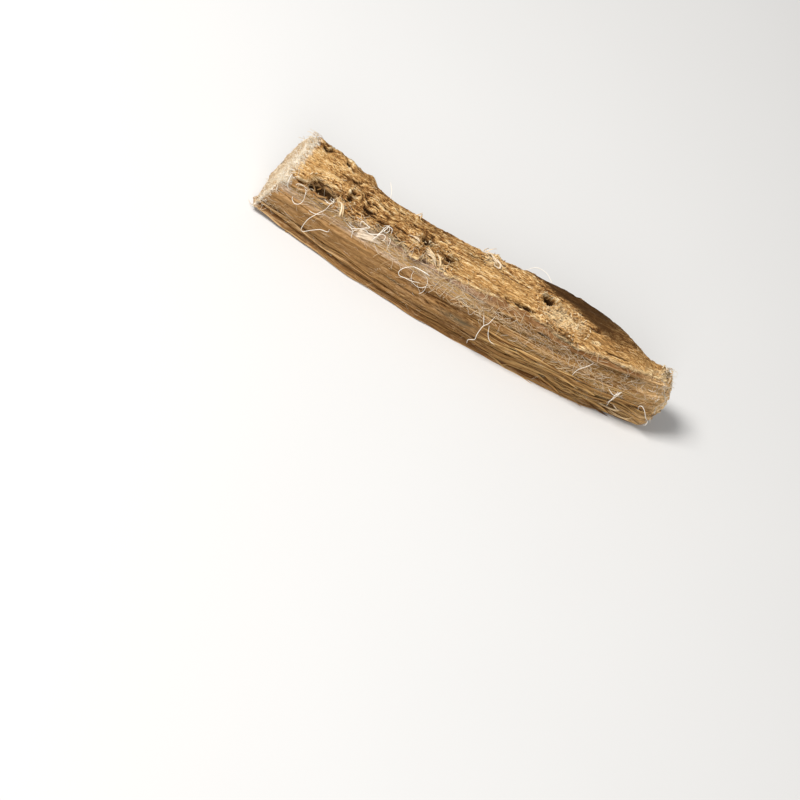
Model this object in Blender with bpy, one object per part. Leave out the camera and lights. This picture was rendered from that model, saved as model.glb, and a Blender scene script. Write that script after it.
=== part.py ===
"""A dried, cut piece of marshmallow root: one solid, because it grew as one piece.

X runs along the root, from its clean slanting cut to its broken end. Y runs across it,
with the peeled side at -Y and the bark on top and round the back. Z is up. The origin
lies under the middle of the root, on the surface that its split side rests on.
"""

import bpy
import numpy as np

OBJECT_NAME = "marshmallow_root"
NODE_NAME = "root"

# Driving dimensions, in millimetres
MM = 0.001
CUT_END_X = -26.9
BROKEN_END_X = 28.1
HEART_HEIGHT = 5.2
BARK_THICKNESS = 0.42

# Where the middle of the root's box lies, measured as the sections below are
BOX_MIDDLE_X = 0.26
BOX_MIDDLE_Y = 0.54

# How far the cut end leans back for each millimetre up and across
CUT_LEAN_UP = 0.29
CUT_LEAN_ACROSS = -0.06
CUT_DISH = -0.15

# The broken end: how far its splinters reach, how it draws in, how far its middle stands out
TORN_REACH = 1.1
TORN_CURVE = 0.045
TORN_ROUNDING = 0.6
TORN_ROUNDING_LENGTH = 1.9
TORN_MIDDLE = 0.7
END_FIBRE_REACH = 0.55

# The mesh
RINGS = 84
POINTS_AROUND = 60
EDGE_CROWDING = 0.36
CURVE_SAMPLES = 9
END_RING_SHARES = (0.88, 0.66, 0.42, 0.18)

# Stations along the root where its section is given
STATIONS = np.array([-28.0, -21.0, -12.0, -3.0, 6.0, 13.0, 19.0, 24.0, 28.5])

# The corners of the section, in order from the bark edge over the top and the back.
# Each has its rounding, then its y and its height at every station.
CORNERS = {
    "bark_edge": (
        0.9,
        (-3.3, -3.5, -3.4, -3.6, -3.6, -3.4, -2.8, -1.6, 0.0),
        (7.4, 7.8, 7.9, 8.0, 8.0, 8.2, 8.4, 8.6, 8.6),
    ),
    "crown": (
        2.4,
        (0.5, 0.3, -0.4, -0.3, 0.0, -0.2, -0.1, -0.1, 0.9),
        (8.7, 8.5, 7.8, 8.2, 8.6, 8.9, 9.1, 8.8, 8.4),
    ),
    "shoulder": (
        1.2,
        (4.2, 3.8, 2.4, 2.5, 3.4, 2.7, 2.4, 1.2, 2.2),
        (9.3, 8.8, 7.3, 7.7, 8.5, 9.0, 9.0, 8.6, 8.6),
    ),
    "high_back": (
        1.6,
        (5.5, 5.4, 4.5, 4.6, 5.2, 4.8, 4.4, 2.7, 2.8),
        (7.0, 6.5, 5.7, 6.0, 6.8, 8.0, 7.9, 7.1, 7.0),
    ),
    "low_back": (
        2.6,
        (5.3, 5.5, 5.2, 5.1, 5.4, 5.6, 5.0, 4.0, 3.2),
        (3.6, 3.2, 3.0, 3.2, 3.4, 3.6, 3.8, 3.8, 4.0),
    ),
    "heel": (
        1.8,
        (3.2, 3.3, 3.2, 3.1, 3.2, 3.3, 3.1, 2.7, 2.1),
        (0.9, 0.1, -0.2, -0.3, -0.3, -0.2, 0.1, 0.5, 1.1),
    ),
    "toe": (
        1.3,
        (-3.1, -3.5, -4.4, -4.7, -4.4, -3.7, -2.9, -1.9, -1.2),
        (0.5, -0.1, -0.2, -0.3, -0.3, -0.2, -0.1, 0.2, 0.7),
    ),
    "belly": (
        2.4,
        (-3.4, -3.7, -4.3, -4.7, -4.6, -4.2, -3.5, -2.5, -1.3),
        (4.3, 4.3, 4.0, 4.0, 4.0, 4.1, 4.3, 4.5, 5.0),
    ),
}

# The bark's two edges: in millimetres at the front, and on the back in shares of the
# way from there over the top and down to the heel
BARK_EDGE_SLOPE = 0.35
FAR_BARK_EDGE = 0.97
FAR_EDGE_RAGGEDNESS = 0.2
FAR_EDGE_SLOPE = 0.05

# Hollows in the bark: x, distance over the bark from its edge, half length,
# half width, depth, and height of the rim round it
HOLLOWS = (
    (-21.8, 1.5, 2.3, 0.85, 0.95, 0.10),
    (-18.1, 3.3, 0.75, 0.65, 0.90, 0.22),
    (-20.0, 8.4, 0.8, 0.9, 0.75, 0.10),
    (-23.1, 9.0, 1.3, 0.45, 0.50, 0.10),
    (-6.9, 2.9, 1.15, 0.9, 1.35, 0.20),
    (-3.5, 2.2, 0.85, 0.65, 0.95, 0.16),
    (-5.0, 4.9, 1.7, 0.45, 0.50, 0.08),
    (9.6, 4.4, 1.2, 0.85, 1.25, 0.34),
    (16.5, 3.6, 1.9, 0.5, 0.40, 0.06),
    (-13.0, 4.4, 1.8, 0.5, 0.45, 0.08),
    (2.0, 11.5, 1.3, 0.9, 0.90, 0.25),
    (-16.0, 13.0, 1.0, 0.8, 0.80, 0.22),
    (20.0, 12.0, 1.6, 0.6, 0.60, 0.12),
)
HOLLOW_WOBBLE = (0.9, 0.7, 0.4, 51)
RIM_PLACE = 1.15
RIM_WIDTH = 0.3

# Knots on the bark where a rootlet left it: x, distance over the bark, half length,
# half width and height
KNOTS = (
    (-17.1, 7.8, 1.4, 1.2, 0.75),
    (-9.9, 6.9, 1.0, 0.7, 0.40),
    (1.1, 7.6, 1.3, 1.0, 0.50),
    (12.4, 2.9, 2.4, 1.3, 0.34),
    (8.0, 14.0, 1.7, 1.4, 0.60),
    (-25.0, 5.5, 2.0, 1.8, 0.25),
)

# Grain: patch length, patch width, height, and the number of its draw
BARK_GRAIN = (
    (7.0, 1.7, 0.48, 11),
    (3.2, 0.95, 0.40, 12),
)
FRONT_GRAIN = (
    (17.0, 1.5, 0.58, 21),
    (11.0, 0.8, 0.46, 22),
)
BACK_GRAIN = (10.0, 2.6, 0.55, 31)
BACK_GRAIN_FROM = 0.5
BACK_GRAIN_DEEPEN = 0.2
SPLIT_GRAIN = (16.0, 1.3, 1.5, 32)
EDGE_GRAIN = (
    (2.6, 1.0, 0.85, 41),
    (1.1, 1.0, 0.45, 42),
)
DRAW_ROWS = 64
DRAW_COLUMNS = 48

# The peeled side, in shares of the way from the bark edge down to the toe
SUNKEN_BAND = (0.06, 0.2, 0.12)
SUNKEN_DEPTH = 0.22
LOOSE_STRIPS_FROM_X = 3.0
LOOSE_STRIPS_FADE = 13.0
LOOSE_STRIPS_FROM = 0.42
LOOSE_STRIPS_DEEPEN = 0.29
LOOSE_STRIP_GRAIN = (15.0, 1.05, 0.95, 23)
LEDGES = ((0.8, 0.16), (0.93, 0.24))
LEDGE_WIDTH = 0.04
LEDGE_FADE = 40.0
TOE_FADE = 0.06

# The even land in the middle of the split side, where its long grooves leave off
LAND_HALF_LENGTH = 7.0
LAND_HALF_WIDTH = 1.3


def smooth_step(value):
    t = np.clip(value, 0.0, 1.0)
    return t * t * (3.0 - 2.0 * t)


def along(x, values):
    """The values given at the stations, as a smooth curve read at x."""
    values = np.asarray(values)
    slopes = np.gradient(values, STATIONS)
    k = np.clip(np.searchsorted(STATIONS, x) - 1, 0, len(STATIONS) - 2)
    span = STATIONS[k + 1] - STATIONS[k]
    t = (x - STATIONS[k]) / span
    start = (1 + 2 * t) * (1 - t) ** 2 * values[k] + t * (1 - t) ** 2 * span * slopes[k]
    end = t * t * (3 - 2 * t) * values[k + 1] - t * t * (1 - t) * span * slopes[k + 1]
    return start + end


def grain(x, across, length, width, draw):
    """Soft random relief from 0 to 1, in patches of that length along x and that width."""
    table = np.random.default_rng(draw).random((DRAW_ROWS, DRAW_COLUMNS))
    row = x / length + DRAW_ROWS / 2
    column = across / width + DRAW_COLUMNS / 2
    i = np.floor(row).astype(int)
    j = np.floor(column).astype(int)
    u = smooth_step(row - i)
    v = smooth_step(column - j)

    def drawn(a, b):
        return table[(i + a) % DRAW_ROWS, (j + b) % DRAW_COLUMNS]

    near = drawn(0, 0) * (1 - u) + drawn(1, 0) * u
    far = drawn(0, 1) * (1 - u) + drawn(1, 1) * u
    return near * (1 - v) + far * v


def relief(x, across, kinds):
    """The heights of several kinds of grain, added up and level on average."""
    return sum(
        rise * (grain(x, across, length, width, draw) - 0.5)
        for length, width, rise, draw in kinds
    )


def rounding_point(corner, neighbour, rounding):
    leg = neighbour - corner
    reach = np.linalg.norm(leg)
    return corner + leg / reach * min(rounding, 0.45 * reach)


def section(x):
    """The outline of one section, a closed curve of y and height that starts at the
    bark edge, and the numbers of the samples where it reaches the heel and the toe."""
    corners = np.array([(along(x, y), along(x, z)) for _, y, z in CORNERS.values()])
    cage = []
    for k, (rounding, _, _) in enumerate(CORNERS.values()):
        after = corners[(k + 1) % len(corners)]
        cage.append(rounding_point(corners[k], corners[k - 1], rounding))
        cage.append(corners[k])
        cage.append(rounding_point(corners[k], after, rounding))
    t = np.arange(CURVE_SAMPLES)[:, None] / CURVE_SAMPLES
    curve = []
    for k in range(1, len(cage) + 1):
        a = cage[k - 1]
        b = cage[k % len(cage)]
        c = cage[(k + 1) % len(cage)]
        curve.append(0.5 * (1 - t) ** 2 * a + (0.5 + t * (1 - t)) * b + 0.5 * t * t * c)
    curve = np.roll(np.concatenate(curve), -(CURVE_SAMPLES // 2), axis=0)
    heel = 3 * CURVE_SAMPLES * list(CORNERS).index("heel")
    toe = 3 * CURVE_SAMPLES * list(CORNERS).index("toe")
    return curve, heel, toe


def plain_root():
    """The unworked root in rings: x, y and height, the distance over the bark from its
    edge (negative down the peeled front), and the shares of the way from there over the
    back to the heel and down the front to the toe."""
    steps = np.arange(POINTS_AROUND) / POINTS_AROUND
    crowded = steps - EDGE_CROWDING / (2 * np.pi) * np.sin(2 * np.pi * steps)
    x = np.linspace(CUT_END_X, BROKEN_END_X, RINGS)
    y, z, over, back, front = (np.empty((RINGS, POINTS_AROUND)) for _ in range(5))
    for k in range(RINGS):
        curve, heel, toe = section(x[k])
        loop = np.vstack([curve, curve[:1]])
        legs = np.linalg.norm(np.diff(loop, axis=0), axis=1)
        distance = np.concatenate([[0.0], np.cumsum(legs)])
        girth = distance[-1]
        here = crowded * girth
        y[k] = np.interp(here, distance, loop[:, 0])
        z[k] = np.interp(here, distance, loop[:, 1])
        over[k] = np.where(here < (distance[heel] + distance[toe]) / 2, here, here - girth)
        back[k] = over[k] / distance[heel]
        front[k] = -over[k] / (girth - distance[toe])
    return np.repeat(x[:, None], POINTS_AROUND, axis=1), y, z, over, back, front


def outward(y, z):
    """The outward direction at every point of every ring, in the ring's plane."""
    dy = np.roll(y, -1, axis=1) - np.roll(y, 1, axis=1)
    dz = np.roll(z, -1, axis=1) - np.roll(z, 1, axis=1)
    size = np.hypot(dy, dz)
    return -dz / size, dy / size


def bark_cover(x, over, back):
    """1 where bark is left and 0 where it is gone, with a ragged edge on each side."""
    ragged = relief(x, 0.0 * x, EDGE_GRAIN)
    far_edge = FAR_BARK_EDGE + FAR_EDGE_RAGGEDNESS * ragged
    near_side = smooth_step((over - ragged) / BARK_EDGE_SLOPE + 0.5)
    return near_side * smooth_step((far_edge - back) / FAR_EDGE_SLOPE)


def bark_height(x, over):
    height = BARK_THICKNESS + relief(x, over, BARK_GRAIN)
    length, width, amount, draw = HOLLOW_WOBBLE
    wobble = 1.0 + amount * (grain(x, over, length, width, draw) - 0.5)
    for at, across, half_length, half_width, depth, rim in HOLLOWS:
        reach = np.hypot((x - at) / half_length, (over - across) / half_width) * wobble
        height -= depth * (1 - smooth_step(reach))
        height += rim * np.exp(-(((reach - RIM_PLACE) / RIM_WIDTH) ** 2))
    for at, across, half_length, half_width, rise in KNOTS:
        reach = np.hypot((x - at) / half_length, (over - across) / half_width)
        height += rise * (1 - smooth_step(reach))
    return height


def front_height(x, over, front):
    """The peeled side: its long fibres, the sunken band under the bark, the strips that
    work loose low down towards the broken end, and the thin ledges above the toe."""
    starts, ends, fade = SUNKEN_BAND
    band = smooth_step(front / starts) * (1 - smooth_step((front - ends) / fade))
    height = relief(x, over, FRONT_GRAIN) - SUNKEN_DEPTH * band
    loose = smooth_step((x - LOOSE_STRIPS_FROM_X) / LOOSE_STRIPS_FADE)
    loose = loose * smooth_step((front - LOOSE_STRIPS_FROM) / LOOSE_STRIPS_DEEPEN)
    height += loose * relief(x, over, [LOOSE_STRIP_GRAIN])
    fading = 1 - smooth_step((x - CUT_END_X) / LEDGE_FADE)
    for place, rise in LEDGES:
        height += rise * fading * np.exp(-(((front - place) / LEDGE_WIDTH) ** 2))
    return height


def split_height(x, y):
    """The split side underneath: long grooves that leave an even land in the middle."""
    grooves = np.minimum(relief(x, y, [SPLIT_GRAIN]), 0.0)
    return grooves * smooth_step(np.hypot(x / LAND_HALF_LENGTH, y / LAND_HALF_WIDTH) - 1)


def worked_root():
    """The root's rings with the bark, the fibres and the two ends worked into them."""
    x, y, z, over, back, front = plain_root()
    ahead = (x - CUT_END_X) / (BROKEN_END_X - CUT_END_X)
    lean = CUT_LEAN_UP * (z - HEART_HEIGHT) + CUT_LEAN_ACROSS * y
    torn = TORN_REACH * (grain(0.3 * y, z, 1.0, 1.5, 61) - 0.5) - TORN_CURVE * y * y
    x = x + lean * (1 - ahead) ** 3 + torn * ahead**12
    out_y, out_z = outward(y, z)
    cover = bark_cover(x, over, back)
    peeled = (1 - cover) * smooth_step((1 - front) / TOE_FADE)
    under = (1 - cover) * smooth_step((front - 1) / TOE_FADE) + smooth_step((back - 1) / TOE_FADE)
    height = cover * bark_height(x, over)
    round_back = smooth_step((back - BACK_GRAIN_FROM) / BACK_GRAIN_DEEPEN)
    height += cover * round_back * relief(x, over, [BACK_GRAIN])
    height += peeled * front_height(x, over, front)
    height += under * split_height(x, y)
    to_end = smooth_step((x - BROKEN_END_X) / TORN_ROUNDING_LENGTH + 0.8)
    height -= TORN_ROUNDING * to_end**2
    return x, y + out_y * height, np.maximum(z + out_z * height, 0.0)


def end_rings(rim, stands_out, draw):
    """Smaller and smaller rings that close an end, roughened by its fibres, and its tip."""
    middle = rim.mean(axis=0)
    made = []
    for share in END_RING_SHARES:
        ring = middle + (rim - middle) * share
        fibres = grain(ring[:, 1], ring[:, 2], 1.3, 1.3, draw) - 0.5
        ring[:, 0] += stands_out * (1 - share * share) + END_FIBRE_REACH * fibres
        made.append(ring)
    return made, middle + (stands_out, 0.0, 0.0)


def root_mesh():
    """A loft through the rings, since no two sections of the root are alike."""
    rings = np.stack(worked_root(), axis=-1)
    cut_rings, cut_tip = end_rings(rings[0], CUT_DISH, 71)
    torn_rings, torn_tip = end_rings(rings[-1], TORN_MIDDLE, 81)
    loops = cut_rings[::-1] + list(rings) + torn_rings
    vertices = np.vstack([cut_tip[None], *loops, torn_tip[None]])
    vertices -= (BOX_MIDDLE_X, BOX_MIDDLE_Y, 0.0)
    last_loop = 1 + (len(loops) - 1) * POINTS_AROUND
    faces = []
    for j in range(POINTS_AROUND):
        k = (j + 1) % POINTS_AROUND
        faces.append((0, 1 + j, 1 + k))
        faces.append((last_loop + j, len(vertices) - 1, last_loop + k))
        for a in range(1, last_loop, POINTS_AROUND):
            b = a + POINTS_AROUND
            faces.append((a + j, b + j, b + k, a + k))
    mesh = bpy.data.meshes.new(NODE_NAME)
    mesh.from_pydata((MM * vertices).tolist(), [], faces)
    mesh.shade_smooth()
    mesh.set_sharp_from_angle(angle=np.radians(50.0))
    return mesh


def dried_root_material():
    material = bpy.data.materials.new("dried_root")
    material.use_nodes = True
    shader = material.node_tree.nodes["Principled BSDF"]
    shader.inputs["Base Color"].default_value = (0.42, 0.25, 0.11, 1.0)
    shader.inputs["Roughness"].default_value = 0.85
    shader.inputs["Metallic"].default_value = 0.0
    return material


def main():
    for thing in list(bpy.data.objects):
        bpy.data.objects.remove(thing, do_unlink=True)
    parts = bpy.data.collections.new(OBJECT_NAME)
    bpy.context.scene.collection.children.link(parts)
    root = bpy.data.objects.new(NODE_NAME, root_mesh())
    root.data.materials.append(dried_root_material())
    parts.objects.link(root)


main()
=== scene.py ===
"""The dressed marshmallow root: its bark, its peeled bast, both ends, the loose fibres and
the colours, worked at a finer grain over the same sections that the solid is made from.

Lengths in the tables are millimetres. X runs along the root from the clean cut to the
torn end. A place on the root is given by x and by "over": the distance over the bark from
its front edge, counted negative down the peeled front. A draw is the seed of a run of
random numbers.
"""

from functools import cache

import bpy
import numpy as np
from mathutils import Matrix, Vector


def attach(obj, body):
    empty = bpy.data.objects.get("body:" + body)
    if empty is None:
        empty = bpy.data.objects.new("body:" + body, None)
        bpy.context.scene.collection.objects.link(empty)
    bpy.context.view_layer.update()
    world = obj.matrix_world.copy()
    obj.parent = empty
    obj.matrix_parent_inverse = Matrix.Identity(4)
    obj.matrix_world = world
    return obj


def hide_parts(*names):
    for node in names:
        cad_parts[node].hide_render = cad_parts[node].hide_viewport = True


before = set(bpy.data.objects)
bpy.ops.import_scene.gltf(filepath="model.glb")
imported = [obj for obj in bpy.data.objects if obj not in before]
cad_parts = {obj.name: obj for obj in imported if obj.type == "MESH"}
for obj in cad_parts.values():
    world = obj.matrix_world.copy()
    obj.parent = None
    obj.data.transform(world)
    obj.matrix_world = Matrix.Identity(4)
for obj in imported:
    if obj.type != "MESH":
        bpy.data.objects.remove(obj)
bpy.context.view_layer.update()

MM = 0.001
NODE = "root"

# The solid's own values: the ends, the sections and the relief that it is made with
CUT_END_X = -26.9
BROKEN_END_X = 28.1
ROOT_LENGTH = BROKEN_END_X - CUT_END_X
HEART_HEIGHT = 5.2
BARK_THICKNESS = 0.42
BOX_MIDDLE = np.array([0.26, 0.54, 0.0])
CUT_LEAN_UP = 0.29
CUT_LEAN_ACROSS = -0.06
CUT_LEAN_FADE = 3
CUT_DISH = -0.15
TORN_SQUEEZE = 0.3
TORN_CURVE = 0.045
TORN_FADE = 12
TORN_ROUNDING = 0.6
TORN_ROUNDING_LENGTH = 1.9
TORN_ROUNDING_START = 0.8
TORN_MIDDLE = 0.7
END_FIBRE_PATCH = (1.3, 1.3)
END_FIBRE_REACH = 0.55
CURVE_SAMPLES = 9
WIDEST_ROUNDING = 0.45
# The sections: where they stand, then each corner's rounding, and its y and height at each
STATIONS = np.array([-28.0, -21.0, -12.0, -3.0, 6.0, 13.0, 19.0, 24.0, 28.5])
CORNERS = {
    "bark_edge": (
        0.9,
        (-3.3, -3.5, -3.4, -3.6, -3.6, -3.4, -2.8, -1.6, 0.0),
        (7.4, 7.8, 7.9, 8.0, 8.0, 8.2, 8.4, 8.6, 8.6),
    ),
    "crown": (
        2.4,
        (0.5, 0.3, -0.4, -0.3, 0.0, -0.2, -0.1, -0.1, 0.9),
        (8.7, 8.5, 7.8, 8.2, 8.6, 8.9, 9.1, 8.8, 8.4),
    ),
    "shoulder": (
        1.2,
        (4.2, 3.8, 2.4, 2.5, 3.4, 2.7, 2.4, 1.2, 2.2),
        (9.3, 8.8, 7.3, 7.7, 8.5, 9.0, 9.0, 8.6, 8.6),
    ),
    "high_back": (
        1.6,
        (5.5, 5.4, 4.5, 4.6, 5.2, 4.8, 4.4, 2.7, 2.8),
        (7.0, 6.5, 5.7, 6.0, 6.8, 8.0, 7.9, 7.1, 7.0),
    ),
    "low_back": (
        2.6,
        (5.3, 5.5, 5.2, 5.1, 5.4, 5.6, 5.0, 4.0, 3.2),
        (3.6, 3.2, 3.0, 3.2, 3.4, 3.6, 3.8, 3.8, 4.0),
    ),
    "heel": (
        1.8,
        (3.2, 3.3, 3.2, 3.1, 3.2, 3.3, 3.1, 2.7, 2.1),
        (0.9, 0.1, -0.2, -0.3, -0.3, -0.2, 0.1, 0.5, 1.1),
    ),
    "toe": (
        1.3,
        (-3.1, -3.5, -4.4, -4.7, -4.4, -3.7, -2.9, -1.9, -1.2),
        (0.5, -0.1, -0.2, -0.3, -0.3, -0.2, -0.1, 0.2, 0.7),
    ),
    "belly": (
        2.4,
        (-3.4, -3.7, -4.3, -4.7, -4.6, -4.2, -3.5, -2.5, -1.3),
        (4.3, 4.3, 4.0, 4.0, 4.0, 4.1, 4.3, 4.5, 5.0),
    ),
}
FAR_BARK_EDGE = 0.97
FAR_EDGE_RAGGEDNESS = 0.2
# Hollows in the bark: x, over, half length, half width, depth, and height of the rim
HOLLOWS = (
    (-21.8, 1.5, 2.3, 0.85, 0.95, 0.10), (-18.1, 3.3, 0.75, 0.65, 0.90, 0.22),
    (-20.0, 8.4, 0.8, 0.9, 0.75, 0.10), (-23.1, 9.0, 1.3, 0.45, 0.50, 0.10),
    (-6.9, 2.9, 1.15, 0.9, 1.35, 0.20), (-3.5, 2.2, 0.85, 0.65, 0.95, 0.16),
    (-5.0, 4.9, 1.7, 0.45, 0.50, 0.08), (9.6, 4.4, 1.2, 0.85, 1.25, 0.34),
    (16.5, 3.6, 1.9, 0.5, 0.40, 0.06), (-13.0, 4.4, 1.8, 0.5, 0.45, 0.08),
    (2.0, 11.5, 1.3, 0.9, 0.90, 0.25), (-16.0, 13.0, 1.0, 0.8, 0.80, 0.22),
    (20.0, 12.0, 1.6, 0.6, 0.60, 0.12),
)
RIM_PLACE = 1.15
RIM_WIDTH = 0.3
# Knots where a rootlet left the bark: x, over, half length, half width and height
KNOTS = (
    (-17.1, 7.8, 1.4, 1.2, 0.75), (-9.9, 6.9, 1.0, 0.7, 0.40), (1.1, 7.6, 1.3, 1.0, 0.50),
    (12.4, 2.9, 2.4, 1.3, 0.34), (8.0, 14.0, 1.7, 1.4, 0.60), (-25.0, 5.5, 2.0, 1.8, 0.25),
)
# Grain: patch length, patch width, height and draw
HOLLOW_WOBBLE = (0.9, 0.7, 0.4, 51)
TORN_GRAIN = (1.0, 1.5, 1.1, 61)
BARK_GRAIN = ((7.0, 1.7, 0.48, 11), (3.2, 0.95, 0.40, 12))
FRONT_GRAIN = ((17.0, 1.5, 0.58, 21), (11.0, 0.8, 0.46, 22))
BACK_GRAIN = (10.0, 2.6, 0.55, 31)
BACK_GRAIN_FROM = 0.5
BACK_GRAIN_DEEPEN = 0.2
SPLIT_GRAIN = (16.0, 1.3, 1.5, 32)
EDGE_GRAIN = ((2.6, 1.0, 0.85, 41), (1.1, 1.0, 0.45, 42))
DRAW_ROWS = 64
DRAW_COLUMNS = 48
# The sunken band under the bark: the shares of the way down where it is deep, ends, fades
SUNKEN_BAND = (0.06, 0.2, 0.12)
SUNKEN_DEPTH = 0.22
LOOSE_STRIPS_FROM_X = 3.0
LOOSE_STRIPS_FADE = 13.0
LOOSE_STRIPS_FROM = 0.42
LOOSE_STRIPS_DEEPEN = 0.29
LOOSE_STRIP_GRAIN = (15.0, 1.05, 0.95, 23)
# Ledges low on the front, and the gaps beside them: share of the way down, height or
# depth, and a gap's width
LEDGES = ((0.8, 0.16), (0.93, 0.24))
LEDGE_WIDTH = 0.04
LEDGE_GAPS = ((0.855, 0.55, 0.028), (0.745, 0.3, 0.02), (0.3, 0.22, 0.02))
LEDGE_GAP_SWAY = (9.0, 1.0, 0.03, 126)
LEDGE_FADE = 40.0
LEDGE_LEAST, LEDGE_MORE = 0.4, 1.2
LEDGE_PATCH = (3.0, 1.0)
TOE_FADE = 0.06
UNDERSIDE_EDGE = (0.9, 0.1)
LAND_HALF_LENGTH = 7.0
LAND_HALF_WIDTH = 1.3

# The finer grain that only the dressed root has, in the same way
FINE_DRAW_ROWS = 211
FINE_DRAW_COLUMNS = 167
FINE_BARK_GRAIN = ((2.6, 0.44, 0.12, 113), (1.0, 0.2, 0.17, 114), (0.4, 0.15, 0.17, 115))
CRUMB_GRAIN = ((0.6, 0.4, 0.45, 173), (0.3, 0.22, 0.3, 174))
FINE_FRONT_GRAIN = ((5.0, 0.42, 0.16, 121), (2.4, 0.25, 0.12, 122), (0.8, 0.18, 0.08, 123))
FINE_SPLIT_GRAIN = ((8.0, 0.5, 0.3, 131), (4.0, 0.3, 0.18, 132))
FACE_GRAIN = ((0.5, 0.6, 0.34, 171), (0.2, 0.7, 0.3, 174), (0.14, 0.3, 0.2, 175))
FINE_EDGE_GRAIN = ((0.55, 1.0, 0.34, 141), (0.24, 1.0, 0.22, 142))
CUT_FRAY_GRAIN = ((1.0, 0.9, 0.9, 146), (1.0, 0.28, 0.8, 147))
# How far outlines and grain wander, in the same way
BARK_WANDER = (3.4, 1.3, 0.6, 119)
FRONT_WANDER = (7.0, 1.6, 0.5, 124)
CRACK_RAGS = (0.5, 0.3, 0.9, 172)
PATCH_RAGS = (0.9, 0.5, 0.8, 161)
FACET_RAGS = (3.0, 1.0, 0.6, 151)
# Narrow slits: patch length, patch width, depth, narrowness and draw, then the patches of
# bark that have them
BARK_SLITS = (
    (4.2, 0.9, 0.30, 0.13, 116), (2.4, 0.55, 0.22, 0.17, 117), (6.0, 1.3, 0.55, 0.055, 129),
)
FRONT_FURROWS = (13.0, 1.5, 0.34, 0.13, 125)
LOOSE_FURROWS = (10.0, 0.8, 1.1, 0.16, 127)
SLIT_PATCHES = (4.5, 1.6, 118)
SLIT_PATCH_EDGE = (0.3, 0.4)
# The shares of their reach at which patches, hollows and cracks begin to fade, and fade
PATCH_CORE = 0.45
PATCH_FADE = 0.7
SMALL_HOLLOW_SIDE = (0.3, 0.7)
PEELED_HOLLOW_SIDE = (0.35, 0.65)
CRACK_NARROWING = 0.6
# How much of the grain is left, or taken away, where it is calmer
KNOT_EASE = 0.7
EDGE_CALM = 0.25
FRONT_CALM = 0.5
FRONT_CALM_END = (-8.0, 9.0)
FURROW_SHARE, FURROW_CALM = 0.6, 0.7
CALM_STRENGTH = 0.3
FACET_SMOOTHNESS = 0.75
# Where the bark's front edge runs: x, and how far over the bark
EDGE_COURSE = (
    (-28.0, -24.7, -23.9, -23.5, -22.8, -20.9, -20.0, -19.4, -18.6, -17.5, -16.4, -15.5,
     -13.3, -12.0, -10.5, -8.5, -7.0, -6.3, -4.0, 0.3, 2.6, 4.9, 8.0, 11.0, 12.0, 16.0,
     29.0),
    (0.5, 0.4, 0.6, 1.6, 2.0, 2.1, 1.6, 1.0, 0.2, -0.4, -0.3, 0.1,
     0.2, 0.6, 0.3, 0.0, 0.0, 0.6, 0.2, 0.4, 0.8, 1.1, 1.0, 0.9, 0.5, 0.4, 0.4),
)
# Hollows in the peeled face under the bark's edge: x, over, half length, half width, depth
PEELED_HOLLOWS = (
    (-21.7, 1.2, 2.5, 0.95, 1.15), (-18.6, 0.1, 0.8, 0.4, 0.35),
    (-6.0, 0.3, 1.0, 0.5, 0.45), (11.2, -0.2, 1.3, 0.45, 0.35),
)
# The rusty furrow along the bark's edge near the torn end
EDGE_FURROW_FROM_X = 13.0
EDGE_FURROW_FADE = 4.0
EDGE_FURROW_PLACE = 0.25
EDGE_FURROW_WIDTH = 0.18
EDGE_FURROW_DEPTH = 0.3
# The bast under the bark
BARK_EDGE_SLOPE = 0.1
UNDER_BARK_MARGIN = 0.2
UNDER_BARK_DEPTH = 1.5
UNDER_BARK_SLOPE = 1.1
UNDER_BARK_END_DEPTH = 0.05
UNDER_BARK_END_LENGTH = 2.2

# The meshes
SECTION_COUNT = 231
SECTION_REACH = 0.8
GIRTH_SAMPLES = 720
OUTWARD_SAMPLES = 9
BAST_RINGS = 416
BAST_FRONT_COLUMNS = 150
BAST_SPLIT_COLUMNS = 44
BAST_BACK_COLUMNS = 28
BAST_START = 2.6
BARK_RINGS = 460
BARK_COLUMNS = 196
BARK_CROWDING = 0.3 / (2 * np.pi)
FACE_POINTS = 300
FACE_RINGS = 64
FACE_TUCK = 0.3
FACE_TUCK_SHARE = 0.985
FACE_RIM = (0.85, 0.15)
FACE_RIM_EVENNESS = 0.9
FACE_LOW_LEVEL, FACE_LOW_WAY = 2.5, 2.0
# The rings and columns over which the level is taken that relief stands out from, and how
# much relief makes the whole range of the mark "lift"
BARK_BLUR = (5, 6)
BAST_BLUR = (3, 7)
# The mark "lift" is painted shade and highlight: recesses below that level are darkened and
# what stands above it is lightened
BARK_LIFT = 0.5
BAST_LIFT = 0.35
FACE_LIFT = 0.8


def smooth_step(value):
    """0 up to 0, 1 from 1 on, and a soft rise between."""
    t = np.clip(value, 0.0, 1.0)
    return t * t * (3.0 - 2.0 * t)


def rising(value, start, way):
    """Goes softly from 0 to 1 as the value goes from start over so long a way."""
    return smooth_step((value - start) / way)


def falling(value, start, way):
    return 1 - rising(value, start, way)


def swell(value, middle, width):
    """1 at the middle, dying away on both sides of it."""
    return np.exp(-(((value - middle) / width) ** 2))


def off_middle(x, over, place):
    """How far off the middle of a place, counted in its half length and half width."""
    at, across, half_length, half_width = place
    return np.hypot((x - at) / half_length, (over - across) / half_width)


def along(x, values):
    """The values given at the stations, as a smooth curve read at x."""
    values = np.asarray(values)
    slopes = np.gradient(values, STATIONS)
    k = np.clip(np.searchsorted(STATIONS, x) - 1, 0, len(STATIONS) - 2)
    span = STATIONS[k + 1] - STATIONS[k]
    t = (x - STATIONS[k]) / span
    start = (1 + 2 * t) * (1 - t) ** 2 * values[k] + t * (1 - t) ** 2 * span * slopes[k]
    end = t * t * (3 - 2 * t) * values[k + 1] - t * t * (1 - t) * span * slopes[k + 1]
    return start + end


@cache
def draw_table(draw, rows, columns):
    return np.random.default_rng(draw).random((rows, columns))


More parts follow.
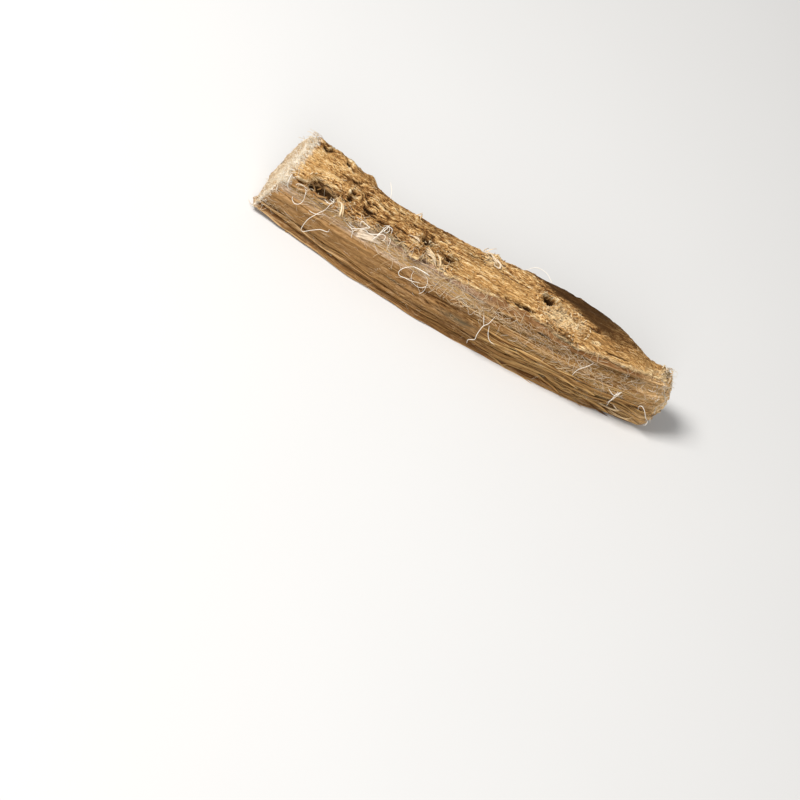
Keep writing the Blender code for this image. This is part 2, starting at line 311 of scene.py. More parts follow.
def grain(x, across, length, width, draw, rows=DRAW_ROWS, columns=DRAW_COLUMNS):
    """Soft random relief from 0 to 1, in patches of that length along x and that width."""
    table = draw_table(draw, rows, columns)
    row = x / length + rows / 2
    column = across / width + columns / 2
    i = np.floor(row).astype(int)
    j = np.floor(column).astype(int)
    u = smooth_step(row - i)
    v = smooth_step(column - j)

    def drawn(a, b):
        return table[(i + a) % rows, (j + b) % columns]

    near = drawn(0, 0) * (1 - u) + drawn(1, 0) * u
    far = drawn(0, 1) * (1 - u) + drawn(1, 1) * u
    return near * (1 - v) + far * v


def fine_grain(x, across, length, width, draw):
    return grain(x, across, length, width, draw, FINE_DRAW_ROWS, FINE_DRAW_COLUMNS)


def relief(x, across, *kinds, kind_of_grain=grain):
    """The heights of several kinds of grain, added up and level on average."""
    return sum(
        rise * (kind_of_grain(x, across, length, width, draw) - 0.5)
        for length, width, rise, draw in kinds
    )


def fine_relief(x, across, *kinds):
    return relief(x, across, *kinds, kind_of_grain=fine_grain)


def wandering(x, across, wander):
    """The distance across, bent to and fro so that grain over it doesn't run in rows."""
    return across + fine_relief(x, across, wander)


def slits(x, across, length, width, depth, narrowness, draw):
    """Narrow lengthwise slits, 0 between them and down to -depth in them."""
    closeness = np.abs(fine_grain(x, across, length, width, draw) - 0.5) / narrowness
    return -depth * (1 - smooth_step(closeness))


def rounding_point(corner, neighbour, rounding):
    """Where the rounding of a corner begins on the way to its neighbour."""
    leg = neighbour - corner
    reach = np.linalg.norm(leg)
    return corner + leg / reach * min(rounding, WIDEST_ROUNDING * reach)


def section(x):
    """The outline of one section, a closed curve of y and height that starts at the
    bark edge, and the numbers of the samples where it reaches the heel and the toe."""
    corners = np.array([(along(x, y), along(x, z)) for _, y, z in CORNERS.values()])
    cage = []
    for k, (rounding, _, _) in enumerate(CORNERS.values()):
        before, corner, after = corners[k - 1], corners[k], corners[(k + 1) % len(corners)]
        cage.append(rounding_point(corner, before, rounding))
        cage.append(corner)
        cage.append(rounding_point(corner, after, rounding))
    a = np.array(cage)[:, None]
    b, c = np.roll(a, -1, axis=0), np.roll(a, -2, axis=0)
    t = np.arange(CURVE_SAMPLES)[:, None] / CURVE_SAMPLES
    curve = 0.5 * (1 - t) ** 2 * a + (0.5 + t * (1 - t)) * b + 0.5 * t * t * c
    curve = np.roll(curve.reshape(-1, 2), -(CURVE_SAMPLES // 2), axis=0)
    heel, toe = (3 * CURVE_SAMPLES * list(CORNERS).index(name) for name in ("heel", "toe"))
    return curve, heel, toe


class PlainRoot:
    """The unworked root, laid out once in sections so that any place on it can be read."""

    def __init__(self):
        ends = CUT_END_X - SECTION_REACH, BROKEN_END_X + SECTION_REACH
        self.x = np.linspace(*ends, SECTION_COUNT)
        lengths, outlines = [], []
        shares = np.arange(GIRTH_SAMPLES) / GIRTH_SAMPLES
        for x in self.x:
            curve, heel, toe = section(x)
            loop = np.vstack([curve, curve[:1]])
            legs = np.linalg.norm(np.diff(loop, axis=0), axis=1)
            distance = np.concatenate([[0.0], np.cumsum(legs)])
            lengths.append((distance[-1], distance[heel], distance[toe]))
            here = shares * distance[-1]
            outlines.append([np.interp(here, distance, side) for side in loop.T])
        self.girth, self.heel, self.toe = np.transpose(lengths)
        self.y, self.z = np.transpose(outlines, (1, 0, 2))
        dy, dz = (
            np.roll(side, -OUTWARD_SAMPLES, axis=1) - np.roll(side, OUTWARD_SAMPLES, axis=1)
            for side in (self.y, self.z)
        )
        size = np.hypot(dy, dz)
        self.out_y, self.out_z = -dz / size, dy / size

    def lengths(self, x):
        """The girth at x, and the ways over from the bark edge to the heel and the toe."""
        tables = self.girth, self.heel, self.toe
        return tuple(np.interp(x, self.x, table) for table in tables)

    def shares(self, x, over):
        """The distance over the bark, brought within one turn, and the shares of the way
        over the back to the heel and down the front to the toe."""
        girth, heel, toe = self.lengths(x)
        turned = over % girth
        over = np.where(turned < (heel + toe) / 2, turned, turned - girth)
        return over, over / heel, -over / (girth - toe)

    def at(self, x, over):
        """y, height, and the outward direction in the section's plane."""
        x, over = np.broadcast_arrays(np.asarray(x, float), np.asarray(over, float))
        girth, _, _ = self.lengths(x)
        row = (x - self.x[0]) / (self.x[1] - self.x[0])
        i = np.clip(np.floor(row).astype(int), 0, SECTION_COUNT - 2)
        u = np.clip(row - i, 0.0, 1.0)
        column = over / girth % 1.0 * GIRTH_SAMPLES
        j = np.floor(column).astype(int)
        v = column - j

        def read(table):
            a, b = j % GIRTH_SAMPLES, (j + 1) % GIRTH_SAMPLES
            near = table[i, a] * (1 - v) + table[i, b] * v
            far = table[i + 1, a] * (1 - v) + table[i + 1, b] * v
            return near * (1 - u) + far * u

        return tuple(read(t) for t in (self.y, self.z, self.out_y, self.out_z))


plain_root = PlainRoot()


def standing(x, over, height):
    """The points that stand so high over the plain root, with the leaning cut end and the
    torn end worked in."""
    y, z, out_y, out_z = plain_root.at(x, over)
    ahead = (x - CUT_END_X) / ROOT_LENGTH
    lean = CUT_LEAN_UP * (z - HEART_HEIGHT) + CUT_LEAN_ACROSS * y
    torn = relief(TORN_SQUEEZE * y, z, TORN_GRAIN) - TORN_CURVE * y * y
    shifted = x + lean * (1 - ahead) ** CUT_LEAN_FADE + torn * np.abs(ahead) ** TORN_FADE
    to_end = (shifted - BROKEN_END_X) / TORN_ROUNDING_LENGTH + TORN_ROUNDING_START
    height = height - TORN_ROUNDING * smooth_step(to_end) ** 2
    points = np.stack([shifted, y + out_y * height, z + out_z * height], axis=-1)
    points[..., 2] = np.maximum(points[..., 2], 0.0)
    return points - BOX_MIDDLE


def directions(x, over):
    """The outward directions of the plain root, as vectors."""
    _, _, out_y, out_z = plain_root.at(x, over)
    return np.stack([0.0 * out_y, out_y, out_z], axis=-1)


def near_edge(x):
    """Where the bark begins at the front, with its frayed fine edge."""
    coarse = EDGE_CALM * relief(x, 0.0 * x, *EDGE_GRAIN)
    return np.interp(x, *EDGE_COURSE) + coarse + fine_relief(x, 0.0 * x, *FINE_EDGE_GRAIN)


def far_edge(x):
    """Where the bark ends round the back."""
    _, heel, _ = plain_root.lengths(x)
    return heel * (FAR_BARK_EDGE + FAR_EDGE_RAGGEDNESS * near_edge(x))


# Patches on the bark: x, over, half length, half width, and how strong
BARK_PATCHES = {
    # The dark patches are partly the bark's own dark colour and partly painted shade over
    # its hollows
    "dark": (
        (-22.0, 1.4, 2.6, 1.3, 1.0), (-24.2, 0.7, 1.6, 0.55, 0.8),
        (-18.2, 2.4, 0.9, 0.8, 0.8), (-15.4, 1.5, 0.8, 0.5, 0.7),
        (-13.2, 1.0, 0.9, 0.6, 0.9), (-12.0, 3.8, 2.6, 1.0, 0.35),
        (-7.0, 2.9, 1.9, 1.4, 0.8), (-3.6, 2.2, 1.6, 1.2, 0.8), (-8.5, 5.6, 3.0, 1.0, 0.4),
        (-2.0, 5.4, 3.0, 1.0, 0.4), (9.6, 4.4, 1.6, 1.1, 0.9), (11.0, 0.5, 1.3, 0.7, 0.8),
        (15.5, 2.2, 2.0, 0.9, 0.3), (22.0, 2.4, 3.0, 1.2, 0.35), (2.0, 11.5, 2.2, 1.6, 0.7),
        (-16.0, 13.0, 2.0, 1.6, 0.7), (20.0, 12.0, 2.6, 1.4, 0.6),
    ),
    "brown": (
        (-15.0, 1.0, 6.0, 1.5, 0.8), (-18.5, 4.6, 4.0, 1.0, 0.25),
        (-6.0, 2.6, 4.2, 2.0, 0.5), (19.5, 3.2, 7.5, 2.0, 0.45), (12.0, 0.6, 3.0, 1.2, 0.8),
        (4.0, 12.0, 26.0, 4.5, 0.6),
    ),
    "gold": (
        (2.6, 2.6, 7.0, 2.3, 1.0), (-24.6, 3.9, 3.2, 2.8, 0.9), (16.5, 2.2, 5.0, 1.5, 0.8),
        (23.0, 1.6, 5.0, 1.6, 0.9), (-20.0, 6.6, 4.0, 1.4, 0.5),
        (-10.0, 6.2, 3.0, 1.2, 0.4),
    ),
    "pale": (
        (12.4, 2.9, 3.2, 1.5, 0.9), (1.2, 6.3, 1.3, 0.9, 0.9), (-8.6, 2.2, 0.7, 0.8, 0.9),
        (-4.6, 0.8, 1.4, 0.6, 0.8), (-19.8, 0.7, 1.0, 0.5, 0.6), (17.3, 1.8, 0.6, 0.4, 0.9),
        (26.0, 1.2, 1.8, 1.2, 0.6), (-26.5, 4.0, 1.2, 5.0, 0.5),
    ),
}
CALM_STRETCHES = (
    (2.6, 2.6, 7.0, 2.3, 1.0), (-24.6, 4.2, 3.4, 3.0, 1.4), (19.5, 2.2, 7.0, 2.6, 2.0),
)


def patches(x, over, kinds):
    """How strongly the patches of a kind show at a place, with ragged outlines."""
    strength = 0.0 * x
    ragged = 1.0 + fine_relief(x, over, PATCH_RAGS)
    for *place, strong in kinds:
        shown = falling(off_middle(x, over, place) * ragged, PATCH_CORE, PATCH_FADE)
        strength = np.maximum(strength, strong * shown)
    return strength


# Small dark hollows in the bark: x, over, half length, half width, depth
SMALL_HOLLOWS = (
    (-18.2, 2.4, 0.6, 0.5, 0.8), (-13.2, 1.1, 0.5, 0.4, 0.5), (-15.4, 1.5, 0.6, 0.35, 0.35),
    (-20.5, 6.9, 0.9, 0.4, 0.6), (-24.0, 7.3, 0.9, 0.35, 0.45), (-3.9, 1.9, 0.5, 0.35, 0.4),
    (9.5, 4.5, 1.0, 0.7, 0.6), (-7.0, 2.8, 0.9, 0.6, 0.4), (-24.2, 0.75, 1.5, 0.42, 0.6),
)
# Long cracks in the bark: x and over of both ends, half width and depth
CRACKS = (
    (-2.2, 4.9, 0.3, 5.6, 0.22, 0.40), (0.1, 5.3, 2.4, 5.1, 0.20, 0.36),
    (3.7, 4.6, 6.7, 4.6, 0.20, 0.36), (-5.3, 5.1, -4.3, 4.5, 0.26, 0.45),
    (-4.4, 3.4, -2.4, 2.8, 0.22, 0.40), (-15.6, 4.0, -14.4, 3.7, 0.22, 0.40),
    (-14.9, 4.9, -13.5, 4.8, 0.20, 0.36), (-12.5, 5.6, -11.1, 5.8, 0.26, 0.45),
    (-9.8, 5.2, -9.0, 5.0, 0.22, 0.40), (-24.5, 7.4, -23.3, 7.3, 0.26, 0.45),
    (-25.4, 0.7, -23.4, 0.9, 0.25, 0.45), (-21.2, 7.3, -19.6, 6.5, 0.28, 0.50),
    (-19.0, 5.2, -17.2, 5.0, 0.18, 0.30), (12.0, 1.6, 14.6, 1.3, 0.18, 0.30),
    (18.6, 1.4, 21.8, 1.2, 0.18, 0.30),
)


def cracks(x, over):
    """How deep the long cracks go at a place in the bark."""
    deepest = 0.0 * x
    ragged = 1 + fine_relief(x, over, CRACK_RAGS)
    for start, start_over, end, end_over, half_width, depth in CRACKS:
        run, rise = end - start, end_over - start_over
        share = ((x - start) * run + (over - start_over) * rise) / (run**2 + rise**2)
        share = np.clip(share, 0.0, 1.0)
        aside = np.hypot(x - start - share * run, over - start_over - share * rise)
        narrowed = half_width * (1 - CRACK_NARROWING * (2 * share - 1) ** 4)
        deepest = np.maximum(deepest, depth * (1 - smooth_step(aside * ragged / narrowed)))
    return deepest


def bark_height(x, over):
    """The bark's relief at both grains, in millimetres over the plain root."""
    _, back, _ = plain_root.shares(x, over)
    height = BARK_THICKNESS + relief(x, over, *BARK_GRAIN)
    wobble = 1.0 + relief(x, over, HOLLOW_WOBBLE)
    for *place, depth, rim in HOLLOWS:
        away = off_middle(x, over, place) * wobble
        height -= depth * (1 - smooth_step(away))
        height += rim * swell(away, RIM_PLACE, RIM_WIDTH)
    for *place, rise in KNOTS:
        height += KNOT_EASE * rise * (1 - smooth_step(off_middle(x, over, place)))
    height += rising(back, BACK_GRAIN_FROM, BACK_GRAIN_DEEPEN) * relief(x, over, BACK_GRAIN)
    calm = CALM_STRENGTH * patches(x, over, CALM_STRETCHES)
    roughness = 1 - FACET_SMOOTHNESS * smooth_facet(x, over) - calm
    bent = wandering(x, over, BARK_WANDER)
    height += roughness * fine_relief(x, bent, *FINE_BARK_GRAIN)
    height += patches(x, over, BARK_PATCHES["pale"]) * fine_relief(x, over, *CRUMB_GRAIN)
    slit_places = rising(fine_grain(x, over, *SLIT_PATCHES), *SLIT_PATCH_EDGE)
    for kind in BARK_SLITS:
        height += roughness * slit_places * slits(x, bent, *kind)
    for *place, depth in SMALL_HOLLOWS:
        away = off_middle(x, over, place) * wobble
        height -= depth * falling(away, *SMALL_HOLLOW_SIDE)
    return height - cracks(x, over)


# The smooth stretch of bark: where it begins, as x and how far over the bark, then how
# softly it begins, and where and how softly it ends below, starts and stops along x
FACET_COURSE = (
    (6.0, 8.0, 10.2, 12.7, 15.3, 17.6, 20.1, 24.0),
    (8.1, 6.8, 5.7, 4.8, 3.7, 3.1, 2.9, 3.6),
)
FACET_EDGE = 0.9
FACET_FOOT = (9.5, 1.5)
FACET_START = (5.5, 2.0)
FACET_END = (16.0, 9.0)


def smooth_facet(x, over):
    """1 on the darker, smoother stretch of bark high on the back near the torn end, whose
    darkness is partly painted shadow.
    """
    begins = np.interp(x, *FACET_COURSE) + relief(x, 0.0 * x, FACET_RAGS)
    down = rising(over, begins, FACET_EDGE) * falling(over, *FACET_FOOT)
    return down * rising(x, *FACET_START) * falling(x, *FACET_END)


def edge_furrow(x, over):
    """1 in the furrow that runs just below the bark's front edge near the torn end."""
    below = np.interp(x, *EDGE_COURSE) - over
    beside = swell(below, EDGE_FURROW_PLACE, EDGE_FURROW_WIDTH)
    return rising(x, EDGE_FURROW_FROM_X, EDGE_FURROW_FADE) * beside


def bast_height(x, over):
    """The peeled front and the split side at both grains."""
    over, back, front = plain_root.shares(x, over)
    y, _, _, _ = plain_root.at(x, over)
    starts, ends, fade = SUNKEN_BAND
    band = smooth_step(front / starts) * falling(front, ends, fade)
    calm = FRONT_CALM * falling(x, *FRONT_CALM_END)
    height = (1 - calm) * relief(x, over, *FRONT_GRAIN) - SUNKEN_DEPTH * band
    loose = rising(x, LOOSE_STRIPS_FROM_X, LOOSE_STRIPS_FADE)
    loose = loose * rising(front, LOOSE_STRIPS_FROM, LOOSE_STRIPS_DEEPEN)
    height += loose * relief(x, over, LOOSE_STRIP_GRAIN)
    fading = falling(x, CUT_END_X, LEDGE_FADE)
    for place, rise in LEDGES:
        grained = fine_grain(x, 0.0 * x, *LEDGE_PATCH, int(1000 * place))
        uneven = LEDGE_LEAST + LEDGE_MORE * grained
        height += uneven * rise * fading * swell(front, place, LEDGE_WIDTH)
    sway = fine_relief(x, 0.0 * x, LEDGE_GAP_SWAY)
    for place, depth, width in LEDGE_GAPS:
        height -= depth * fading * swell(front, place + sway, width)
    bent = wandering(x, over, FRONT_WANDER)
    height += fine_relief(x, bent, *FINE_FRONT_GRAIN)
    furrowed = FURROW_SHARE - FURROW_CALM * calm + loose
    height += furrowed * slits(x, bent, *FRONT_FURROWS)
    height += loose * slits(x, bent, *LOOSE_FURROWS)
    height -= EDGE_FURROW_DEPTH * edge_furrow(x, over)
    for *place, depth in PEELED_HOLLOWS:
        height -= depth * falling(off_middle(x, over, place), *PEELED_HOLLOW_SIDE)
    peeled = smooth_step((1 - front) / TOE_FADE)
    grooves = relief(x, y, SPLIT_GRAIN) + fine_relief(x, y, *FINE_SPLIT_GRAIN)
    land = smooth_step(np.hypot(x / LAND_HALF_LENGTH, y / LAND_HALF_WIDTH) - 1)
    under = rising(front, 1, TOE_FADE) + rising(back, *UNDERSIDE_EDGE)
    return peeled * height + under * np.minimum(grooves, 0.0) * land


def under_bark(x, over):
    """How deep the bast lies under the bark, so that the bark's hollows stay open."""
    deep = rising(over - near_edge(x), UNDER_BARK_MARGIN, UNDER_BARK_SLOPE)
    deep = deep * rising(far_edge(x) - UNDER_BARK_MARGIN, over, UNDER_BARK_SLOPE)
    to_end = np.minimum(x - CUT_END_X, BROKEN_END_X - x) / UNDER_BARK_END_LENGTH
    deepening = (UNDER_BARK_DEPTH - UNDER_BARK_END_DEPTH) * smooth_step(to_end)
    return deep * (UNDER_BARK_END_DEPTH + deepening)


def surface_height(x, over):
    """The height of whatever lies outermost, bark or bast."""
    over, _, _ = plain_root.shares(x, over)
    bark = rising(over, near_edge(x), BARK_EDGE_SLOPE)
    bark = bark * rising(far_edge(x), over, BARK_EDGE_SLOPE)
    return bark * bark_height(x, over) + (1 - bark) * bast_height(x, over)


def bridged(height, reach):
    """The heights along a path that is taut: it spans the dips that are shorter than its
    reach, counted in points of the path."""
    padding = [(0, 0)] * (height.ndim - 1) + [(reach, reach)]
    for gather in (np.max, np.mean):
        padded = np.pad(height, padding, mode="edge")
        windows = np.lib.stride_tricks.sliding_window_view(padded, 2 * reach + 1, axis=-1)
        height = gather(windows, axis=-1)
    return height


def on_root(x, over, lift, taut=0):
    """Points that lie on the dressed root, lifted off it by so many millimetres."""
    x, over, lift = np.broadcast_arrays(*(np.asarray(v, float) for v in (x, over, lift)))
    height = surface_height(x, over)
    if taut:
        height = bridged(height, taut)
    return standing(x, over, height + lift)


def blurred(values, rings, columns):
    """A height field smoothed over so many rings and columns each way."""
    for axis, reach in ((0, rings), (1, columns)):
        kernel = np.hanning(2 * reach + 3)[1:-1]
        kernel /= kernel.sum()
        padding = [(0, 0), (0, 0)]
        padding[axis] = (reach, reach)
        padded = np.pad(values, padding, mode="edge")
        values = np.apply_along_axis(np.convolve, axis, padded, kernel, mode="valid")
    return values


def sheet_faces(rows, columns, closed=False):
    """The four-sided faces of a sheet of rows and columns, and where their corners lie
    in it. A closed sheet joins its last column to its first."""
    across = columns if closed else columns - 1
    r, c = np.meshgrid(np.arange(rows - 1), np.arange(across), indexing="ij")
    r, c = r.ravel(), c.ravel()
    corners = np.array([(r, c), (r + 1, c), (r + 1, c + 1), (r, c + 1)]).transpose(2, 0, 1)
    faces = corners[..., 0] * columns + corners[..., 1] % columns
    return faces, corners


def put_in_scene(name, data):
    thing = bpy.data.objects.new(name, data)
    bpy.context.scene.collection.objects.link(thing)
    return thing


def make_piece(name, points, faces, bake_map, marks, material):
    """A piece of the dressed root: its mesh, its map for baking, and the marks on it."""
    mesh = bpy.data.meshes.new(name)
    mesh.from_pydata((MM * points).tolist(), [], faces.tolist())
    layer = mesh.uv_layers.new(name="OFBake")
    layer.data.foreach_set("uv", bake_map.astype(np.float32).ravel())
    for mark, values in marks.items():
        attribute = mesh.attributes.new(mark, "FLOAT", "POINT")
        attribute.data.foreach_set("value", np.asarray(values, np.float32).ravel())
    mesh.shade_smooth()
    mesh.materials.append(material)
    piece = put_in_scene(name, mesh)
    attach(piece, NODE)
    return piece


def make_sheet(name, points, marks, material, closed=False):
    """A piece that is one sheet, from its points in rows and columns."""
    rows, columns = points.shape[:2]
    faces, corners = sheet_faces(rows, columns, closed)
    bake_map = corners / (rows - 1, columns if closed else columns - 1)
    return make_piece(name, points.reshape(-1, 3), faces, bake_map, marks, material)


# How the bast turns in behind each end's face
END_CURL = 0.9
END_CURL_DEPTH = 0.12


def bast_sheet(material):
    """The peeled front and the split side, going on under the bark as its bed."""
    x = np.linspace(CUT_END_X, BROKEN_END_X, BAST_RINGS)
    girth, heel, toe = plain_root.lengths(x)
    stops = np.stack([0 * x + BAST_START, toe - girth, heel - girth, BAST_START - girth])
    stops = stops[..., None]
    counts = (BAST_FRONT_COLUMNS, BAST_SPLIT_COLUMNS, BAST_BACK_COLUMNS)
    over = np.hstack(
        [
            stops[k] + (stops[k + 1] - stops[k]) * np.arange(count) / count
            for k, count in enumerate(counts)
        ]
    )
    x = np.repeat(x[:, None], over.shape[1], axis=1)
    turned, _, front = plain_root.shares(x, over)
    height = bast_height(x, over)
    points = standing(x, over, height - under_bark(x, turned))
    for end, outward in ((0, -1.0), (-1, 1.0)):
        middle = points[end].mean(axis=0)
        points[end] = middle + (points[end] - middle) * END_CURL
        points[end, :, 0] -= outward * END_CURL_DEPTH
    bent = wandering(x, turned, FRONT_WANDER)
    band = rising(bent, np.interp(x, *BAND_BOTTOM), BAND_FADE)
    band = band * falling(bent, np.interp(x, *BAND_TOP), BAND_FADE)
    high = rising(turned, *HIGH_ACROSS)
    fades_from, fade, strength = (low + more * high for low, more in CUT_MARGIN)
    marks = {
        # painted shade in the bast's furrows and painted highlight on its ridges
        "lift": 0.5 + (height - blurred(height, *BAST_BLUR)) / BAST_LIFT,
        "band": band * falling(x, *BAND_END),
        # just under the bark's edge: partly the rind's reddish brown, partly painted shadow
        # under the bark's lip
        "rind": rising(turned - near_edge(x), *RIND_SHADOW_ACROSS) * rising(x, *RIND_SHADOW_ALONG),
        "web": rising(turned, *WEB_ACROSS) * rising(x, *WEB_ALONG),
        # low on the front: a browner band, darkened further by painted shade
        "low": rising(front, *LOW_DOWN),
        "loose": rising(front, *LOOSE_DOWN) * rising(x, *LOOSE_ALONG),
        "grey": grey_streaks(x, turned),
        "rust": edge_furrow(x, turned),
        # painted shade in the deep hollows of the peeled face
        "hollow": rising(HOLLOW_SHADE_LEVEL, height, HOLLOW_SHADE_WAY) * rising(turned, *HOLLOW_SHADE_ACROSS),
        # lighter or darker along the root
        "bleached": np.interp(x, *TONE_ALONG_ROOT),
        "calm": falling(x, *CALM_ALONG) * falling(front, *CALM_DOWN),
        "straw": rising(x, *STRAW_ALONG),
        "cut": falling(x - CUT_END_X, fades_from, fade) * strength,
    }
    return make_sheet("bast", points, marks, material, closed=True)


# The pale band under the bark: where its lower and upper edges run, as x and over
BAND_BOTTOM = (
    (-27.0, -20.0, -15.4, -9.0, -7.4, -4.0, 6.0),
    (-1.7, -1.9, -2.2, -2.2, -1.9, -1.9, -1.6),
)
BAND_TOP = ((-27.0, -20.5, -18.0, -16.0, 6.0), (-0.8, -0.9, -0.2, 0.6, 1.5))
BAND_FADE = 0.35
# Where each mark that colours the bast begins to grow or to fade, and over what way: along
# x, across as a distance over, or down as a share of the front
BAND_END = (-3.0, 9.0)
RIND_SHADOW_ACROSS = (-1.0, 0.7)
RIND_SHADOW_ALONG = (-14.5, 4.0)
WEB_ACROSS = (-3.6, 1.8)
WEB_ALONG = (-6.0, 10.0)
LOW_DOWN = (0.72, 0.2)
LOOSE_DOWN = (0.35, 0.3)
LOOSE_ALONG = (2.0, 10.0)
# The hollow mark is painted shade in the deep hollows of the peeled face
HOLLOW_SHADE_ACROSS = (-1.0, 0.3)
HOLLOW_SHADE_LEVEL, HOLLOW_SHADE_WAY = -0.12, 0.4
CALM_DOWN = (0.72, 0.1)
CALM_ALONG = (-12.0, 9.0)
STRAW_ALONG = (23.0, 4.0)
# The pale margin of the cut: from where and over what way it fades, and how strong it is,
# each low on the front, and how much more high on it
HIGH_ACROSS = (-1.8, 2.0)
CUT_MARGIN = ((0.1, 0.4), (0.4, 0.5), (0.4, 0.6))
# How much lighter or darker the peeled front is along the root: x, and by how much
TONE_ALONG_ROOT = (
    (-27.0, -14.0, -6.0, 6.0, 14.0, 20.0, 27.0),
    (0.07, 0.05, -0.05, -0.07, -0.01, 0.04, 0.14),
)
# Streaks where the peeled front has gone grey: x, over, half length, half width
GREY_STREAKS = (
    (-24.6, -4.8, 2.6, 0.6), (-21.0, -5.6, 4.0, 0.3), (-17.0, -6.3, 6.0, 0.3),
    (1.2, -4.3, 5.0, 0.8), (5.5, -5.3, 4.0, 0.45), (-8.0, -4.4, 4.0, 0.25),
)


def grey_streaks(x, over):
    """1 along the middle of each streak that has gone grey."""
    bent = wandering(x, over, FRONT_WANDER)
    nearest = np.minimum.reduce([off_middle(x, bent, place) for place in GREY_STREAKS])
    return 1 - smooth_step(nearest)


# How the bark's front and far edges turn in: distance in from the edge, share of the bark's
# height there, and how deep under the plain root
EDGE_TURN = ((0.6, 0.0, 1.2), (0.14, 0.0, 0.45), (-0.05, 0.35, 0.0), (-0.03, 0.75, 0.0))
# How the bark frays and thins at both ends
END_FRAY = 1.3
END_FRAY_GRAIN = (1.0, 0.5, 145)
END_FRAY_LENGTH = 3.0
CUT_FRAY = 0.55
CUT_FRAY_LENGTH = 2.2
CUT_FRAY_AT_TOP = 0.5
CUT_FRAY_LESS_BEHIND = 0.9
END_THINNING = 1.1
END_THINNESS = -0.15
END_THINNED = 0.8
WALL_FOOT = -0.7
# Where the top and the back of the bark begin, the pale rim of the cut and the woolly torn
# end, and over what way: across as a distance over, round as a share of the way to the heel
BEHIND_ACROSS = (7.0, 2.0)
TOP_ACROSS = (3.0, 2.5)
BACK_ROUND = (0.55, 0.2)
RIM_ACROSS = (1.5, 2.5)
RIM_FADES_FROM = 0.1
RIM_WIDTH_AT_CUT = 1.3
RIM_NARROWER_BEHIND = 0.5
TORN_END_ALONG = (25.5, 2.5)
LIP_WIDTH = 0.4
# Painted shade in the bark's deep hollows and cracks: the height under which it begins,
# over what way, and the depth of crack that is darkest
PIT_SHADE_LEVEL, PIT_SHADE_WAY = 0.05, 0.5
DARKEST_CRACK_SHADE = 0.4


def bark_sheet(material):
    """The bark, a sheet over the bast with frayed edges that turn in under it. Its first
    and last rows repeat the rows at the ends, as low walls down to the bast."""
    x = np.linspace(CUT_END_X, BROKEN_END_X, BARK_RINGS)
    x = np.concatenate([x[:1], x, x[-1:]])
    share = np.linspace(0.0, 1.0, BARK_COLUMNS)
    share = share - BARK_CROWDING * np.sin(np.pi * share)
    near, far = near_edge(x)[:, None], far_edge(x)[:, None]
    inward, worth, depth = np.transpose(EDGE_TURN)
    over = np.hstack([near + inward, near + (far - near) * share, far - inward[::-1]])
    worth = np.concatenate([worth, np.ones(BARK_COLUMNS), worth[::-1]])
    depth = np.concatenate([depth, np.zeros(BARK_COLUMNS), depth[::-1]])
    x = np.repeat(x[:, None], over.shape[1], axis=1)
    from_cut = x - CUT_END_X
    behind = rising(over, *BEHIND_ACROSS)
    fray = END_FRAY * fine_grain(0 * x, over, *END_FRAY_GRAIN)
    x = x - fray * smooth_step((x - BROKEN_END_X) / END_FRAY_LENGTH + 1)
    fray = CUT_FRAY * (fine_relief(0 * x, over, *CUT_FRAY_GRAIN) + 0.5)
    fray += CUT_FRAY_AT_TOP * rising(over, *TOP_ACROSS)
    fray = fray * (1 - CUT_FRAY_LESS_BEHIND * behind)
    x = x + fray * falling(x, CUT_END_X, CUT_FRAY_LENGTH)
    height = bark_height(x, over)
    lift = height - blurred(height, *BARK_BLUR)
    to_end = np.minimum(from_cut, ROOT_LENGTH - from_cut)
    thinning = 1 - smooth_step(to_end / END_THINNING)
    height = height + (END_THINNESS - height) * END_THINNED * thinning
    worked = height * worth - depth
    worked[[0, -1]] = np.minimum(worked[[0, -1]], WALL_FOOT)
    _, back, _ = plain_root.shares(x, over)
    pits = rising(PIT_SHADE_LEVEL, height, PIT_SHADE_WAY)
    narrower = 1 - RIM_NARROWER_BEHIND * behind
    rim = falling(from_cut, RIM_FADES_FROM, RIM_WIDTH_AT_CUT * narrower)
    marks = {
        # painted shade in the bark's recesses and painted highlight on its crests
        "lift": 0.5 + lift / BARK_LIFT,
        "lip": falling(over, near, LIP_WIDTH),
        # painted shade in the deep hollows and cracks
        "pit": np.maximum(pits, cracks(x, over) / DARKEST_CRACK_SHADE),
        **{mark: patches(x, over, kinds) for mark, kinds in BARK_PATCHES.items()},
        # the smooth facet: its own dark brown with painted shadow
        "facet": smooth_facet(x, over),
        "back": rising(back, *BACK_ROUND),
        "ends": rising(x, *TORN_END_ALONG),
        "rim": rising(over, *RIM_ACROSS) * narrower * rim,
    }
    return make_sheet("bark", standing(x, over, worked), marks, material)


